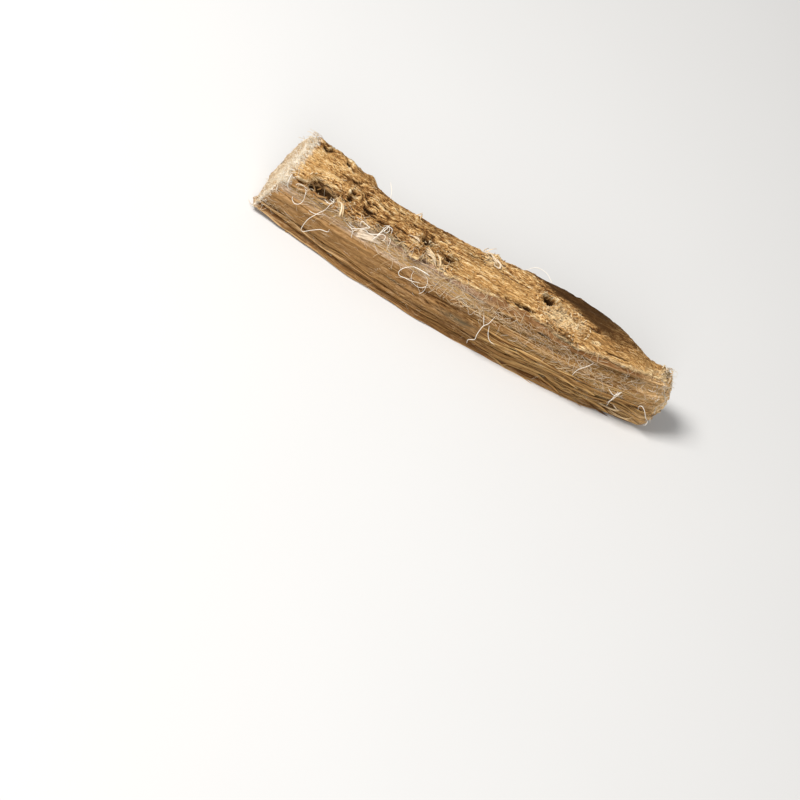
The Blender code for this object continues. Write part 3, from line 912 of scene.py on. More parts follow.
def end_face(name, x, stands_out, outward, draw, material):
    """The face of an end, from a rim that is tucked in behind its edge to its middle."""
    over = np.linspace(0.0, 1.0, FACE_POINTS, endpoint=False) * plain_root.lengths(x)[0]
    x = np.full(FACE_POINTS, x)
    turned, _, _ = plain_root.shares(x, over)
    rim = standing(x, over, bast_height(x, over) - under_bark(x, turned))
    middle = rim.mean(axis=0)
    share = np.concatenate([[FACE_TUCK_SHARE], np.linspace(1.0, 0.0, FACE_RINGS)])[:, None]
    tucked = np.concatenate([[FACE_TUCK], np.zeros(FACE_RINGS)])[:, None]
    points = middle + (rim - middle) * share[..., None]
    y, z = points[..., 1] + BOX_MIDDLE[1], points[..., 2]
    fibres = relief(y, z, (*END_FIBRE_PATCH, END_FIBRE_REACH, draw))
    fibres += fine_relief(y, z, *FACE_GRAIN)
    within = 1 - rising(share, *FACE_RIM) * FACE_RIM_EVENNESS
    points[..., 0] += stands_out * (1 - share**2) + fibres * within
    points[..., 0] -= outward * tucked
    points[..., 2] = np.maximum(points[..., 2], 0.0)
    marks = {
        "lift": 0.5 + fibres / FACE_LIFT,
        "rim": np.repeat(share, FACE_POINTS, axis=1),
        "low": rising(FACE_LOW_LEVEL, z, FACE_LOW_WAY),
    }
    return make_sheet(name, points, marks, material, closed=True)


# How strands thin out: over what share of their length, and how fully
STRAND_TAPER = 0.2
TAPER_FULLNESS = 0.7


def unit(vectors):
    return vectors / (np.linalg.norm(vectors, axis=-1, keepdims=True) + 1e-9)


def strands(name, groups, material, sides=4, blunt=0.25):
    """A piece of many strands. Each group gives the paths of its strands, with the same
    number of points in each, their outward directions, how wide they are across and how
    deep off the root, and their tones. A strand thins out towards both of its ends."""
    points, faces, maps, tone_marks = [], [], [], []
    first, number = 0, 0
    turn = 2 * np.pi * np.arange(sides) / sides
    total = sum(len(group[0]) for group in groups)
    for paths, outs, widths, depths, tones in groups:
        count, steps, _ = paths.shape
        ahead = unit(np.gradient(paths, axis=1))
        out = unit(outs - ahead * (outs * ahead).sum(axis=-1, keepdims=True))
        side = np.cross(ahead, out)
        t = np.linspace(0.0, 1.0, steps)
        to_tip = np.clip(np.minimum(t, 1 - t) / STRAND_TAPER, 0, 1)
        thin = blunt + (1 - blunt) * to_tip**TAPER_FULLNESS
        wide = np.multiply.outer(np.asarray(widths) / 2, thin)[..., None] * np.cos(turn)
        deep = np.multiply.outer(np.asarray(depths) / 2, thin)[..., None] * np.sin(turn)
        ring = side[:, :, None] * wide[..., None] + out[:, :, None] * deep[..., None]
        points.append((paths[:, :, None] + ring).reshape(-1, 3))
        body, corners = sheet_faces(steps, sides, closed=True)
        strand = np.arange(count)[:, None, None]
        faces.append((first + strand * steps * sides + body).reshape(-1, 4))
        across = (number + strand + 0.1 + 0.8 * corners[..., 1] / sides) / total
        along_it = np.broadcast_to(corners[..., 0] / (steps - 1), across.shape)
        maps.append(np.stack([across, along_it], axis=-1).reshape(-1, 4, 2))
        tone_marks.append(np.repeat(tones, steps * sides))
        first += count * steps * sides
        number += count
    points, faces, maps, tones = map(np.concatenate, (points, faces, maps, tone_marks))
    points[:, 2] = np.maximum(points[:, 2], 0.0)
    return make_piece(name, points, faces, maps, {"tone": tones}, material)


CLEARANCE = 0.02
# How a straying strand bends, waves and lifts on its way
STRAY_BEND = 6.0
STRAY_WAVE = 2.0
STRAY_WAVES = 1.2
STRAY_ARCH = (0.3, 1.0)
STRAY_TIP = (0.0, 0.4)


class Laid:
    """Strands that lie on the root, gathered first and then laid all at once. They share
    one run of random draws, and bridge the dips that are shorter than they are taut."""

    def __init__(self, draw, taut):
        self.rng = np.random.default_rng(draw)
        self.taut = taut
        self.by_steps = {}

    def add(self, x, over, lift, width, depth, tone):
        course = np.broadcast_arrays(x, over, lift)
        self.by_steps.setdefault(len(x), []).append((course, width, depth, tone))

    def stray(self, x, over, length, heading, curl, arch, thick, tone, steps=14):
        """Adds a strand that strays over the root from a place, bending as it goes."""
        rng = self.rng
        t = np.linspace(0.0, 1.0, steps)
        bend = rng.normal(0.0, STRAY_BEND * curl) * t
        wave = rng.normal(0.0, STRAY_WAVE * curl)
        wave = wave * np.sin(2 * np.pi * (STRAY_WAVES * t + rng.random()))
        turns = heading + bend + wave
        xs = x + np.cumsum(np.cos(turns)) * length / steps
        overs = over + np.cumsum(np.sin(turns)) * length / steps
        lift = np.sin(np.pi * t) * rng.uniform(*STRAY_ARCH) + rng.uniform(*STRAY_TIP) * t
        self.add(xs, overs, CLEARANCE + arch * lift, thick, thick, tone)

    def made(self, name, material, sides=4, blunt=0.25):
        groups = []
        for alike in self.by_steps.values():
            courses, widths, depths, tones = zip(*alike)
            x, over, lift = np.array(courses).transpose(1, 0, 2)
            paths = on_root(x, over, lift, self.taut)
            groups.append((paths, directions(x, over), widths, depths, tones))
        return strands(name, groups, material, sides, blunt)


def smooth_path(stops, steps):
    """A smooth curve through the stops, with so many points in all."""
    stops = np.asarray(stops, float)
    ends = np.vstack([2 * stops[0] - stops[1], stops, 2 * stops[-1] - stops[-2]])
    place = np.linspace(0, len(stops) - 1, steps)
    k = np.minimum(place.astype(int), len(stops) - 2)
    t = (place - k)[:, None]
    a, b, c, d = (ends[k + ahead] for ahead in range(4))
    bend = (2 * a - 5 * b + 4 * c - d) * t**2 + (3 * b - a - 3 * c + d) * t**3
    return 0.5 * (2 * b + (c - a) * t + bend)


# Strips of bast: how many, then the ranges of x, share of the way down the front, length,
# width, how far loose ends lift, and tone
STRIP_PLACES = (
    (110, (-26.6, 0.0), (0.06, 0.22), (2.0, 7.0), (0.04, 0.09), 0.10, (0.75, 1.05)),
    (150, (-26.6, 24.0), (0.18, 0.78), (1.5, 6.0), (0.03, 0.08), 0.12, (0.15, 0.8)),
    (110, (0.0, 26.0), (0.04, 0.45), (2.0, 9.0), (0.03, 0.09), 0.14, (0.4, 1.0)),
    (60, (4.0, 22.0), (0.40, 0.98), (4.0, 12.0), (0.14, 0.34), 0.7, (-0.1, 1.1)),
    (120, (4.0, 25.0), (0.36, 0.98), (3.0, 12.0), (0.05, 0.12), 0.4, (0.1, 1.35)),
    (50, (-26.4, 4.0), (0.78, 1.0), (3.0, 12.0), (0.06, 0.14), 0.15, (0.1, 0.6)),
    (16, (6.0, 18.0), (0.55, 1.0), (6.0, 11.0), (0.4, 0.7), 0.9, (0.3, 0.75)),
)
STRIP_DEPTH = 0.16
STRIP_DRIFT = 0.2
STRIP_SWAY = (0.03, 0.14)
STRIP_WAVE_LENGTH = 6.0
TIP_CHANCES = (0.7, 0.3)
TIP_SHARE = 0.4


def bast_strips(material):
    """The long strips and threads that the peeled front is made of."""
    laid = Laid(201, taut=2)
    rng = laid.rng
    t = np.linspace(0.0, 1.0, 26)
    for count, xs, shares, lengths, wide, loose, tone in STRIP_PLACES:
        for _ in range(count):
            start = rng.uniform(*xs)
            length = min(rng.uniform(*lengths), BROKEN_END_X - 0.3 - start)
            girth, _, toe = plain_root.lengths(start)
            sway = np.sin(2 * np.pi * (rng.random() + length / STRIP_WAVE_LENGTH * t))
            drift = rng.normal(0.0, STRIP_DRIFT) * t + rng.uniform(*STRIP_SWAY) * sway
            over = (toe - girth) * rng.uniform(*shares) + drift
            width = rng.uniform(*wide)
            tip = rng.choice([0.0, 1.0], p=TIP_CHANCES) * rng.uniform(0.3, 1.0) * loose
            rise = np.clip((t - (1 - TIP_SHARE)) / TIP_SHARE, 0, 1) ** 2
            lift = 0.4 * min(width, 0.25) + tip * rise
            depth = min(width, STRIP_DEPTH)
            laid.add(start + length * t, over, lift, width, depth, rng.uniform(*tone))
    return laid.made("bast_strips", material)


# Lamellae that stand along the front: share of the way down to the toe, the x where
# each starts and ends, its thickness, how far it stands off, and its tone
LAMELLAE = (
    (0.785, -26.9, -13.0, 0.20, 0.30, 0.85), (0.80, -17.0, -6.0, 0.12, 0.22, 0.6),
    (0.925, -26.9, -16.0, 0.20, 0.36, 0.8), (0.95, -18.0, -4.0, 0.14, 0.3, 0.6),
    (0.97, -8.0, 6.0, 0.10, 0.3, 0.55), (0.27, -25.5, -12.0, 0.07, 0.14, 0.75),
    (0.235, -3.0, 12.0, 0.12, 0.2, 1.0), (0.26, 6.0, 20.0, 0.09, 0.18, 0.9),
    (0.34, 9.0, 24.0, 0.10, 0.2, 0.85), (0.62, -4.0, 12.0, 0.09, 0.18, 0.5),
    (0.74, -1.0, 17.0, 0.14, 0.32, 0.65), (0.83, 3.0, 22.0, 0.16, 0.36, 0.5),
    (0.92, 5.0, 25.5, 0.18, 0.4, 0.6), (0.56, 10.0, 23.0, 0.12, 0.28, 0.8),
    (0.66, 13.0, 26.0, 0.16, 0.34, 0.6), (0.47, 14.0, 26.5, 0.10, 0.22, 0.8),
)
LAMELLA_CLOSENESS = 4
LAMELLA_SWAY = (4.0, 0.045)
LAMELLA_TOP_LENGTH = 1.6


def lamellae(material):
    """The thin ridges of bast that stand along the front, uneven along their tops."""
    laid = Laid(281, taut=2)
    for share, start, end, thick, stands_off, tone in LAMELLAE:
        x = np.linspace(start, end, int(LAMELLA_CLOSENESS * (end - start)))
        girth, _, toe = plain_root.lengths(x)
        sway, uneven = (
            fine_relief(x, 0.0 * x, (length, 1.0, amount, laid.rng.integers(300, 400)))
            for length, amount in (LAMELLA_SWAY, (LAMELLA_TOP_LENGTH, stands_off))
        )
        over = (toe - girth) * (share + sway)
        laid.add(x, over, 0.5 * uneven, thick, 0.6 * stands_off, tone)
    return laid.made("lamellae", material, sides=6)


FLAKE_FIBRE_SPACING = 0.04
FLAKE_FIBRE_WIDTH = (0.06, 0.13)
FLAKE_FIBRE_DEPTH = (0.03, 0.05)
FLAKE_TAPER = 0.85
# Flakes, curls and splinters that stand off the root: width, tone, then the stops that
# each passes, as x, over and lift
FLAKES = (
    # the pale torn flake at the bark's edge
    (1.20, 1.05, (-15.4, -1.5, 0.02), (-14.6, -1.3, 0.16), (-13.5, -1.1, 0.18),
     (-11.8, -0.8, 0.05)),
    (0.70, 1.15, (-15.2, -1.1, 0.08), (-14.4, -0.9, 0.22), (-13.5, -0.7, 0.22),
     (-12.4, -0.5, 0.05)),
    # the torn rim left of it
    (0.20, 0.80, (-19.4, 0.8, 0.10), (-19.0, 0.7, 0.40), (-18.6, 0.4, 0.45),
     (-18.3, 0.0, 0.4), (-18.2, -0.4, 0.3), (-18.5, -0.8, 0.1)),
    (0.18, 0.60, (-19.1, 0.9, 0.10), (-18.5, 0.5, 0.35), (-18.0, 0.0, 0.30),
     (-17.6, -0.4, 0.1)),
    # curled bark in the dark hollow
    (0.20, 0.15, (-24.0, 0.5, 0.10), (-23.8, 1.1, 0.45), (-23.2, 1.4, 0.55),
     (-22.6, 1.1, 0.5), (-22.6, 0.6, 0.4), (-23.1, 0.6, 0.35)),
    (0.14, 0.05, (-23.4, 0.2, 0.15), (-22.6, 0.4, 0.30), (-21.8, 0.3, 0.40),
     (-21.0, 0.5, 0.5), (-20.4, 0.4, 0.35)),
    (0.20, 0.20, (-22.2, -0.2, 0.05), (-21.2, 0.0, 0.30), (-20.4, 0.0, 0.40),
     (-19.8, 0.2, 0.3)),
    # pale crumbly bark between the two hollows
    (0.45, 0.75, (-7.0, 1.6, 0.05), (-6.2, 1.4, 0.25), (-5.5, 1.1, 0.35), (-4.9, 0.6, 0.3)),
    (0.40, 0.85, (-6.6, 1.1, 0.05), (-5.9, 0.9, 0.30), (-5.2, 0.6, 0.40),
     (-4.7, 0.2, 0.25)),
    (0.35, 0.65, (-5.4, 1.8, 0.05), (-4.8, 1.4, 0.30), (-4.4, 0.8, 0.35),
     (-4.2, 0.3, 0.15)),
    (0.30, 0.90, (-9.6, 2.7, 0.05), (-8.9, 2.3, 0.30), (-8.3, 2.0, 0.40), (-7.9, 1.7, 0.3)),
    # the frayed tuft at the top
    (0.34, 0.95, (-0.6, 7.2, 0.05), (0.2, 6.7, 0.35), (1.0, 6.2, 0.5), (1.8, 5.6, 0.35)),
    (0.22, 1.05, (1.0, 6.6, 0.10), (1.5, 6.0, 0.45), (2.1, 5.5, 0.5), (2.2, 5.0, 0.3),
     (1.7, 5.1, 0.3), (1.4, 5.6, 0.35)),
    (0.20, 1.00, (-0.4, 7.4, 0.05), (0.2, 7.8, 0.5), (0.9, 8.2, 0.9)),
    (0.16, 0.90, (-0.6, 7.3, 0.05), (-0.3, 8.0, 0.6), (-0.1, 8.6, 1.0)),
    # the spike on the back
    (0.55, 0.50, (-10.6, 6.8, -0.35), (-9.9, 6.9, 0.1), (-9.4, 7.0, 0.75)),
    (0.40, 0.60, (-9.0, 6.9, -0.35), (-9.3, 6.9, 0.1), (-9.4, 7.0, 0.70)),
    # flakes low on the front near the torn end
    (0.30, 0.75, (21.4, -7.0, 0.05), (22.6, -7.2, 0.30), (23.8, -7.0, 0.45),
     (24.4, -6.5, 0.3)),
    (0.26, 0.90, (23.2, -6.3, 0.05), (23.9, -6.8, 0.35), (24.2, -7.3, 0.2)),
    (0.34, 0.60, (22.6, -7.9, 0.05), (24.2, -7.9, 0.35), (25.6, -7.6, 0.45),
     (26.2, -7.0, 0.2)),
)


def flakes(material):
    """The flakes, curls and splinters, each a bundle of short fibres side by side."""
    laid = Laid(271, taut=3)
    rng = laid.rng
    for width, tone, *stops in FLAKES:
        course = smooth_path(stops, 8 * len(stops))
        ahead = np.gradient(course[:, :2], axis=0)
        ahead /= np.linalg.norm(ahead, axis=1)[:, None]
        for _ in range(2 + int(width / FLAKE_FIBRE_SPACING)):
            first = rng.integers(0, len(course) // 4)
            last = len(course) - rng.integers(0, len(course) // 3)
            aside = rng.uniform(-0.5, 0.5) * width
            t = np.arange(first, last) / len(course)
            aside = aside * (1 - FLAKE_TAPER * t) + rng.normal(0.0, 0.06) * t
            x, over, lift = course[first:last].T
            laid.add(
                x - ahead[first:last, 1] * aside,
                over + ahead[first:last, 0] * aside,
                lift + rng.normal(0.0, 0.025),
                rng.uniform(*FLAKE_FIBRE_WIDTH),
                rng.uniform(*FLAKE_FIBRE_DEPTH),
                tone + rng.normal(0.0, 0.09),
            )
    return laid.made("flakes", material)


# Where the bark crumbles: x, over, half length, half width, and how thickly
CRUMBLY_PLACES = (
    (-21.8, 2.2, 2.2, 0.6, 1.0), (-18.3, 3.0, 1.0, 0.9, 1.2), (-6.9, 2.9, 1.3, 1.0, 1.3),
    (-3.6, 2.0, 1.2, 1.0, 1.6), (-8.6, 2.2, 0.8, 0.8, 1.2), (9.6, 4.4, 1.2, 0.9, 1.3),
    (11.5, 3.0, 2.0, 1.2, 2.2), (13.8, 2.4, 1.6, 1.0, 1.4), (1.2, 6.2, 1.2, 1.0, 1.2),
    (2.0, 11.5, 1.3, 0.9, 1.0), (-16.0, 13.0, 1.0, 0.8, 1.0), (26.6, 1.0, 1.0, 1.2, 1.2),
)
SCATTERED_CHIPS = 1500
FACET_BARENESS = 0.97
# Chips of bark, scattered and as crumbs in the crumbly places: the ranges of their lengths,
# then of how far their ends lift, their width, depth and tone, and how far out crumbs lie
SCATTERED_LENGTH, CRUMB_LENGTH = (0.25, 0.8), (0.15, 0.5)
SCATTERED_LOOKS = ((-0.02, 0.09), (0.06, 0.13), (0.04, 0.07), (0.0, 0.75))
CRUMB_LOOKS = ((0.0, 0.28), (0.08, 0.2), (0.05, 0.1), (0.1, 1.0))
CRUMB_REACH = (0.85, 1.5)


def add_chip(laid, x, over, rise, looks):
    """Adds a chip that lies over its path, its looks drawn from their ranges."""
    lift, width, depth, tone = (laid.rng.uniform(*span) for span in looks)
    laid.add(x, over, lift * rise, width, depth, tone)


def bark_chips(material):
    """Short bristling chips of bark, each with one end lifted."""
    laid = Laid(211, taut=0)
    rng = laid.rng
    t = np.linspace(0.0, 1.0, 6)
    for _ in range(SCATTERED_CHIPS):
        x = np.array(rng.uniform(CUT_END_X + 0.4, BROKEN_END_X - 1.6))
        near, far = near_edge(x), far_edge(x)
        over = near + rng.uniform(0.05, 1.0) ** 1.3 * (far - near - 0.4)
        if smooth_facet(x, over) > 0.25 and rng.random() < FACET_BARENESS:
            continue
        reach = rng.uniform(*SCATTERED_LENGTH) * t
        x = x + reach * rng.choice([-1, 1])
        over = over + rng.normal(0.0, 0.25) * reach
        add_chip(laid, x, over, t**2, SCATTERED_LOOKS)
    for at, across, half_length, half_width, strong in CRUMBLY_PLACES:
        for _ in range(int(26 * strong * half_length * half_width) + 10):
            turn = rng.uniform(0.0, 2 * np.pi)
            out = rng.uniform(*CRUMB_REACH)
            x = at + out * half_length * np.cos(turn)
            over = max(across + out * half_width * np.sin(turn), 0.1)
            heading = rng.choice([0.0, np.pi]) + rng.normal(0.0, 0.8)
            reach = rng.uniform(*CRUMB_LENGTH) * t
            x = x + reach * np.cos(heading)
            over = over + reach * np.sin(heading)
            add_chip(laid, x, over, t, CRUMB_LOOKS)
    return laid.made("bark_chips", material)


FRINGE_COUNT = 110
FRINGE_CURL = 0.12
FRINGE_ARCH = 0.14


def edge_fringe(material):
    """Frayed fibres along the bark's front edge."""
    laid = Laid(221, taut=3)
    rng = laid.rng
    for _ in range(FRINGE_COUNT):
        x = rng.uniform(CUT_END_X + 0.2, BROKEN_END_X - 0.5)
        over = float(near_edge(np.array(x))) + rng.normal(0.02, 0.12)
        heading = rng.choice([0.0, np.pi]) - rng.uniform(-0.2, 0.7)
        length, thick = rng.uniform(0.4, 1.6), rng.uniform(0.03, 0.08)
        tone = rng.uniform(0.1, 0.8)
        laid.stray(x, over, length, heading, FRINGE_CURL, FRINGE_ARCH, thick, tone, 10)
    return laid.made("edge_fringe", material)


FIBRE_SLIMNESS = 0.62
# Loose fibres: how thick, then the stops that each passes, as x, over and lift
LOOSE_FIBRES = (
    (0.14, (-26.1, 1.0, 0.3), (-26.1, 0.3, 0.35), (-25.5, -0.7, 0.3), (-25.0, -1.1, 0.05)),
    (0.11, (-24.3, -1.6, 0.1), (-24.1, -1.9, 0.2), (-23.5, -2.2, 0.3), (-23.0, -1.8, 0.3),
     (-23.0, -1.1, 0.35), (-23.4, 0.0, 0.3), (-23.8, 0.3, 0.1)),
    (0.10, (-25.0, 0.1, 0.1), (-24.9, 0.3, 0.3), (-24.3, 0.4, 0.35), (-23.6, 0.4, 0.1)),
    (0.12, (-19.9, 0.6, 0.4), (-20.0, 0.2, 0.4), (-20.2, -1.0, 0.35), (-20.6, -1.9, 0.3),
     (-20.9, -2.9, 0.3), (-20.9, -4.2, 0.35), (-20.7, -5.4, 0.4), (-20.4, -5.7, 0.4),
     (-19.7, -4.7, 0.2), (-19.0, -3.8, 0.1), (-18.2, -3.5, 0.1), (-18.0, -3.3, 0.1),
     (-18.1, -2.9, 0.05)),
    (0.12, (-20.2, 1.3, 0.5), (-20.0, 0.9, 0.45), (-19.8, 0.5, 0.4), (-20.0, 0.2, 0.4),
     (-20.4, 0.2, 0.4), (-21.0, 0.3, 0.15)),
    (0.10, (-21.1, -0.3, 0.1), (-20.6, 0.1, 0.35), (-20.0, 0.2, 0.4)),
    (0.10, (-21.6, -2.1, 0.1), (-20.9, -2.0, 0.25), (-19.9, -1.8, 0.05)),
    (0.10, (-19.5, 0.9, 0.1), (-19.9, 0.5, 0.45), (-20.3, 0.6, 0.4), (-20.5, 1.0, 0.1)),
    (0.13, (-17.4, -0.8, 0.1), (-16.8, -0.9, 0.3), (-16.1, -1.1, 0.35), (-15.6, -0.9, 0.35),
     (-15.2, -0.5, 0.35), (-14.7, -0.1, 0.4), (-14.2, 0.1, 0.4), (-14.5, 0.15, 0.4),
     (-15.1, 0.2, 0.4), (-15.4, 0.2, 0.4), (-15.5, 0.1, 0.35), (-15.2, -0.2, 0.2)),
    (0.11, (-15.3, -2.3, 0.1), (-15.5, -1.8, 0.3), (-15.6, -1.2, 0.35), (-15.2, -0.8, 0.3)),
    (0.12, (-17.0, -0.4, 0.1), (-16.5, -0.7, 0.3), (-16.1, -0.8, 0.3), (-15.6, -0.9, 0.2)),
    (0.13, (-14.6, -0.5, 0.2), (-13.9, -0.4, 0.35), (-13.3, -0.2, 0.35), (-12.8, 0.1, 0.4),
     (-12.5, 0.8, 0.4), (-12.2, 1.1, 0.4), (-11.7, 1.1, 0.35), (-11.5, 0.5, 0.15)),
    (0.12, (-13.4, -0.6, 0.2), (-13.1, -0.5, 0.35), (-12.6, 0.1, 0.45), (-12.2, 0.2, 0.4),
     (-11.9, 0.1, 0.4), (-11.9, -0.2, 0.35), (-12.1, -0.5, 0.1)),
    (0.11, (-11.6, 0.3, 0.1), (-11.3, 0.2, 0.35), (-11.1, 0.0, 0.35), (-11.0, -0.4, 0.3),
     (-11.0, -0.8, 0.05)),
    (0.15, (-13.1, -1.1, 0.3), (-13.0, -0.5, 0.45), (-12.7, 0.2, 0.5), (-12.3, 0.7, 0.45),
     (-12.2, 1.3, 0.5)),
    (0.10, (-14.9, -1.0, 0.2), (-15.0, -0.5, 0.4), (-14.4, -0.2, 0.45), (-13.9, -0.5, 0.2)),
    (0.10, (-12.9, 0.9, 0.1), (-12.3, 0.4, 0.4), (-11.9, 0.7, 0.4), (-12.3, 1.2, 0.4),
     (-12.8, 1.4, 0.1)),
    (0.09, (-16.6, -0.2, 0.1), (-16.2, -0.9, 0.4), (-15.7, -1.3, 0.35),
     (-15.9, -1.8, 0.05)),
    (0.20, (-4.6, -1.1, 0.1), (-5.2, -0.95, 0.3), (-6.1, -0.9, 0.4), (-7.0, -1.0, 0.45)),
    (0.13, (-6.8, -0.95, 0.4), (-7.6, -1.6, 0.4), (-8.0, -2.2, 0.35), (-8.05, -2.8, 0.3),
     (-7.7, -3.2, 0.25), (-7.0, -3.1, 0.2), (-6.2, -3.0, 0.15), (-5.2, -2.6, 0.05)),
    (0.08, (-6.6, -1.7, 0.05), (-6.5, -2.3, 0.2), (-6.0, -3.0, 0.2), (-5.0, -3.2, 0.2),
     (-4.3, -2.5, 0.2), (-4.5, -1.8, 0.15), (-5.3, -1.2, 0.05)),
    (0.08, (-4.3, -2.2, 0.05), (-4.2, -3.3, 0.2), (-4.5, -4.1, 0.05)),
    (0.09, (-26.7, -1.3, 0.05), (-26.3, -2.0, 0.25), (-25.9, -2.3, 0.05)),
    (0.14, (4.9, -1.2, 0.05), (4.7, -2.3, 0.25), (4.3, -3.1, 0.3), (4.2, -4.3, 0.3),
     (4.3, -5.3, 0.3), (3.7, -6.4, 0.25), (3.8, -7.5, 0.05)),
    (0.12, (4.9, -2.6, 0.2), (5.3, -3.7, 0.25), (6.0, -4.4, 0.25), (6.8, -4.7, 0.05)),
    (0.11, (4.3, -3.1, 0.3), (4.0, -2.4, 0.3), (3.6, -1.8, 0.05)),
    (0.13, (22.7, -7.3, 0.1), (22.6, -4.9, 0.4), (22.7, -3.1, 0.1)),
    (0.12, (22.4, -6.6, 0.1), (22.8, -3.9, 0.35), (23.1, -3.0, 0.1)),
    (0.12, (21.3, -3.1, 0.05), (22.5, -3.7, 0.3), (23.0, -3.0, 0.1)),
    (0.13, (26.2, -5.2, 0.1), (26.0, -4.2, 0.3), (26.3, -3.8, 0.5), (27.0, -4.2, 0.9),
     (27.6, -5.2, 1.1), (27.9, -6.4, 1.0), (27.8, -7.4, 0.7)),
    (0.10, (16.8, -3.7, 0.05), (17.0, -2.2, 0.25), (18.0, -1.1, 0.25), (18.2, -0.5, 0.05)),
    (0.16, (-13.8, 6.6, -0.1), (-14.2, 6.9, 0.8), (-14.9, 7.1, 1.7)),
    (0.14, (5.2, 8.2, 0.0), (6.2, 8.4, 0.9), (7.5, 8.4, 1.0), (8.6, 8.2, 0.3),
     (8.9, 8.1, 0.0)),
)


def loose_fibres(material):
    """The pale fibres that lie in loops and hooks on the root."""
    laid = Laid(231, taut=4)
    for thick, *stops in LOOSE_FIBRES:
        x, over, lift = smooth_path(stops, 10 * len(stops)).T
        slim = FIBRE_SLIMNESS * thick
        laid.add(x, over, lift, slim, slim, laid.rng.uniform(0.9, 1.15))
    return laid.made("loose_fibres", material, sides=7, blunt=0.4)


# Where fine hairs gather: how many, then the ranges of x and over, length and thickness
HAIR_PLACES = (
    (60, (-17.5, -10.5), (-1.8, 0.8), (0.4, 1.4), (0.025, 0.055)),
    (24, (-21.5, -18.5), (-0.8, 1.4), (0.4, 1.2), (0.025, 0.05)),
    (12, (-26.6, -21.5), (-2.5, 0.2), (0.4, 1.2), (0.02, 0.045)),
    (28, (-26.6, -22.0), (-5.6, -3.8), (0.4, 1.4), (0.02, 0.03)),
    (90, (14.5, 19.5), (-3.2, -0.2), (0.7, 2.2), (0.025, 0.05)),
    (80, (19.5, 23.5), (-4.6, -1.2), (0.7, 2.2), (0.025, 0.05)),
    (60, (23.0, 27.2), (-4.4, -0.2), (0.6, 1.8), (0.02, 0.045)),
    (110, (9.0, 15.0), (-2.6, 0.2), (0.6, 2.0), (0.02, 0.035)),
    (300, (-11.0, 9.0), (-2.6, 0.4), (0.5, 2.4), (0.03, 0.06)),
    (110, (-24.5, -12.0), (-1.6, 0.5), (0.5, 1.8), (0.025, 0.055)),
    (70, (10.0, 27.0), (-7.5, -3.5), (0.7, 2.6), (0.02, 0.04)),
    (150, (-26.5, 26.0), (-7.8, -1.0), (0.4, 1.6), (0.015, 0.03)),
    (40, (-26.0, 27.0), (2.0, 15.0), (0.4, 1.2), (0.02, 0.035)),
    (130, (-26.8, -26.1), (-7.0, 13.5), (0.3, 1.1), (0.03, 0.06)),
    (60, (26.4, 27.8), (-6.5, 12.0), (0.3, 1.2), (0.03, 0.06)),
)
# Where pale wool gathers round the rims of both ends, in the same way
WOOL_PLACES = (
    (200, (-26.9, -25.9), (-0.7, 8.0), (0.3, 1.1), (0.03, 0.07)),
    (70, (-26.9, -26.3), (-7.0, -1.6), (0.3, 0.8), (0.03, 0.06)),
    (140, (26.4, 28.1), (-2.5, 9.0), (0.3, 1.1), (0.03, 0.07)),
)


# How far hairs turn off the root's run, and how strongly and how often they curl
HAIR_TURN = 0.75
HAIR_CURLS = (0.08, 0.35)
CURL_CHANCES = (0.6, 0.4)
HAIR_ARCH = 0.12


def fine_hairs(name, places, draw, material):
    """Fine hairs that lie on the root in webs and wool."""
    laid = Laid(draw, taut=3)
    rng = laid.rng
    for count, xs, overs, lengths, thicknesses in places:
        for _ in range(count):
            heading = rng.choice([0.0, np.pi]) + rng.normal(0.0, HAIR_TURN)
            curl = rng.choice(HAIR_CURLS, p=CURL_CHANCES)
            x, over, length = rng.uniform(*xs), rng.uniform(*overs), rng.uniform(*lengths)
            thick, tone = rng.uniform(*thicknesses), rng.uniform(0.3, 1.1)
            laid.stray(x, over, length, heading, curl, HAIR_ARCH, thick, tone)
    return laid.made(name, material, sides=3)


# Hairs on the ends: the points that find the middle of a face, the squares of how far out
# from it the hairs may start, and how deep they start and may dip into the face
MIDDLE_POINTS = 60
END_HAIR_PLACES = (0.1, 0.84)
END_HAIR_ROOT = 0.05
END_HAIR_DIP = 0.1
END_HAIR_OUTWARD = 0.5
END_HAIR_TURN = 0.35


def end_hairs(name, x, outward, count, lengths, draw, material):
    """Short fibres that stand on an end's face and hang over its edge."""
    rng = np.random.default_rng(draw)
    girth, _, _ = plain_root.lengths(x)
    round_it = np.linspace(0.0, girth, MIDDLE_POINTS)
    middle = on_root(x, round_it, 0.0).mean(axis=0)
    rim = on_root(x, rng.uniform(0.0, girth, count), 0.0)
    start = middle + (rim - middle) * np.sqrt(rng.uniform(*END_HAIR_PLACES, (count, 1)))
    start[:, 0] -= outward * END_HAIR_ROOT
    away = rng.normal(0.0, 1.0, (count, 3))
    away[:, 0] = outward * np.abs(away[:, 0]) * END_HAIR_OUTWARD
    away *= rng.uniform(*lengths, (count, 1)) / np.linalg.norm(away, axis=1, keepdims=True)
    turn = rng.normal(0.0, END_HAIR_TURN, (count, 3))
    turn = turn * np.linalg.norm(away, axis=1, keepdims=True)
    t = np.linspace(0.0, 1.0, 8)[:, None]
    paths = start[:, None] + away[:, None] * t + turn[:, None] * t * t
    inmost = outward * start[:, None, 0] - END_HAIR_DIP
    paths[..., 0] = outward * np.maximum(outward * paths[..., 0], inmost)
    outs = np.broadcast_to(rng.normal(0.0, 1.0, (count, 1, 3)), paths.shape)
    thick = rng.uniform(0.03, 0.07, count)
    groups = [(paths, outs, thick, thick, rng.uniform(0.6, 1.0, count))]
    return strands(name, groups, material, sides=3)


# The numbers of sockets that share their names with others
MIX_SHARE, MIX_FIRST, MIX_SECOND, MIX_COLOUR = 0, 6, 7, 2
NOISE_COLOUR = 1
MARK_VALUE = 2
OBJECT_PLACE = 3
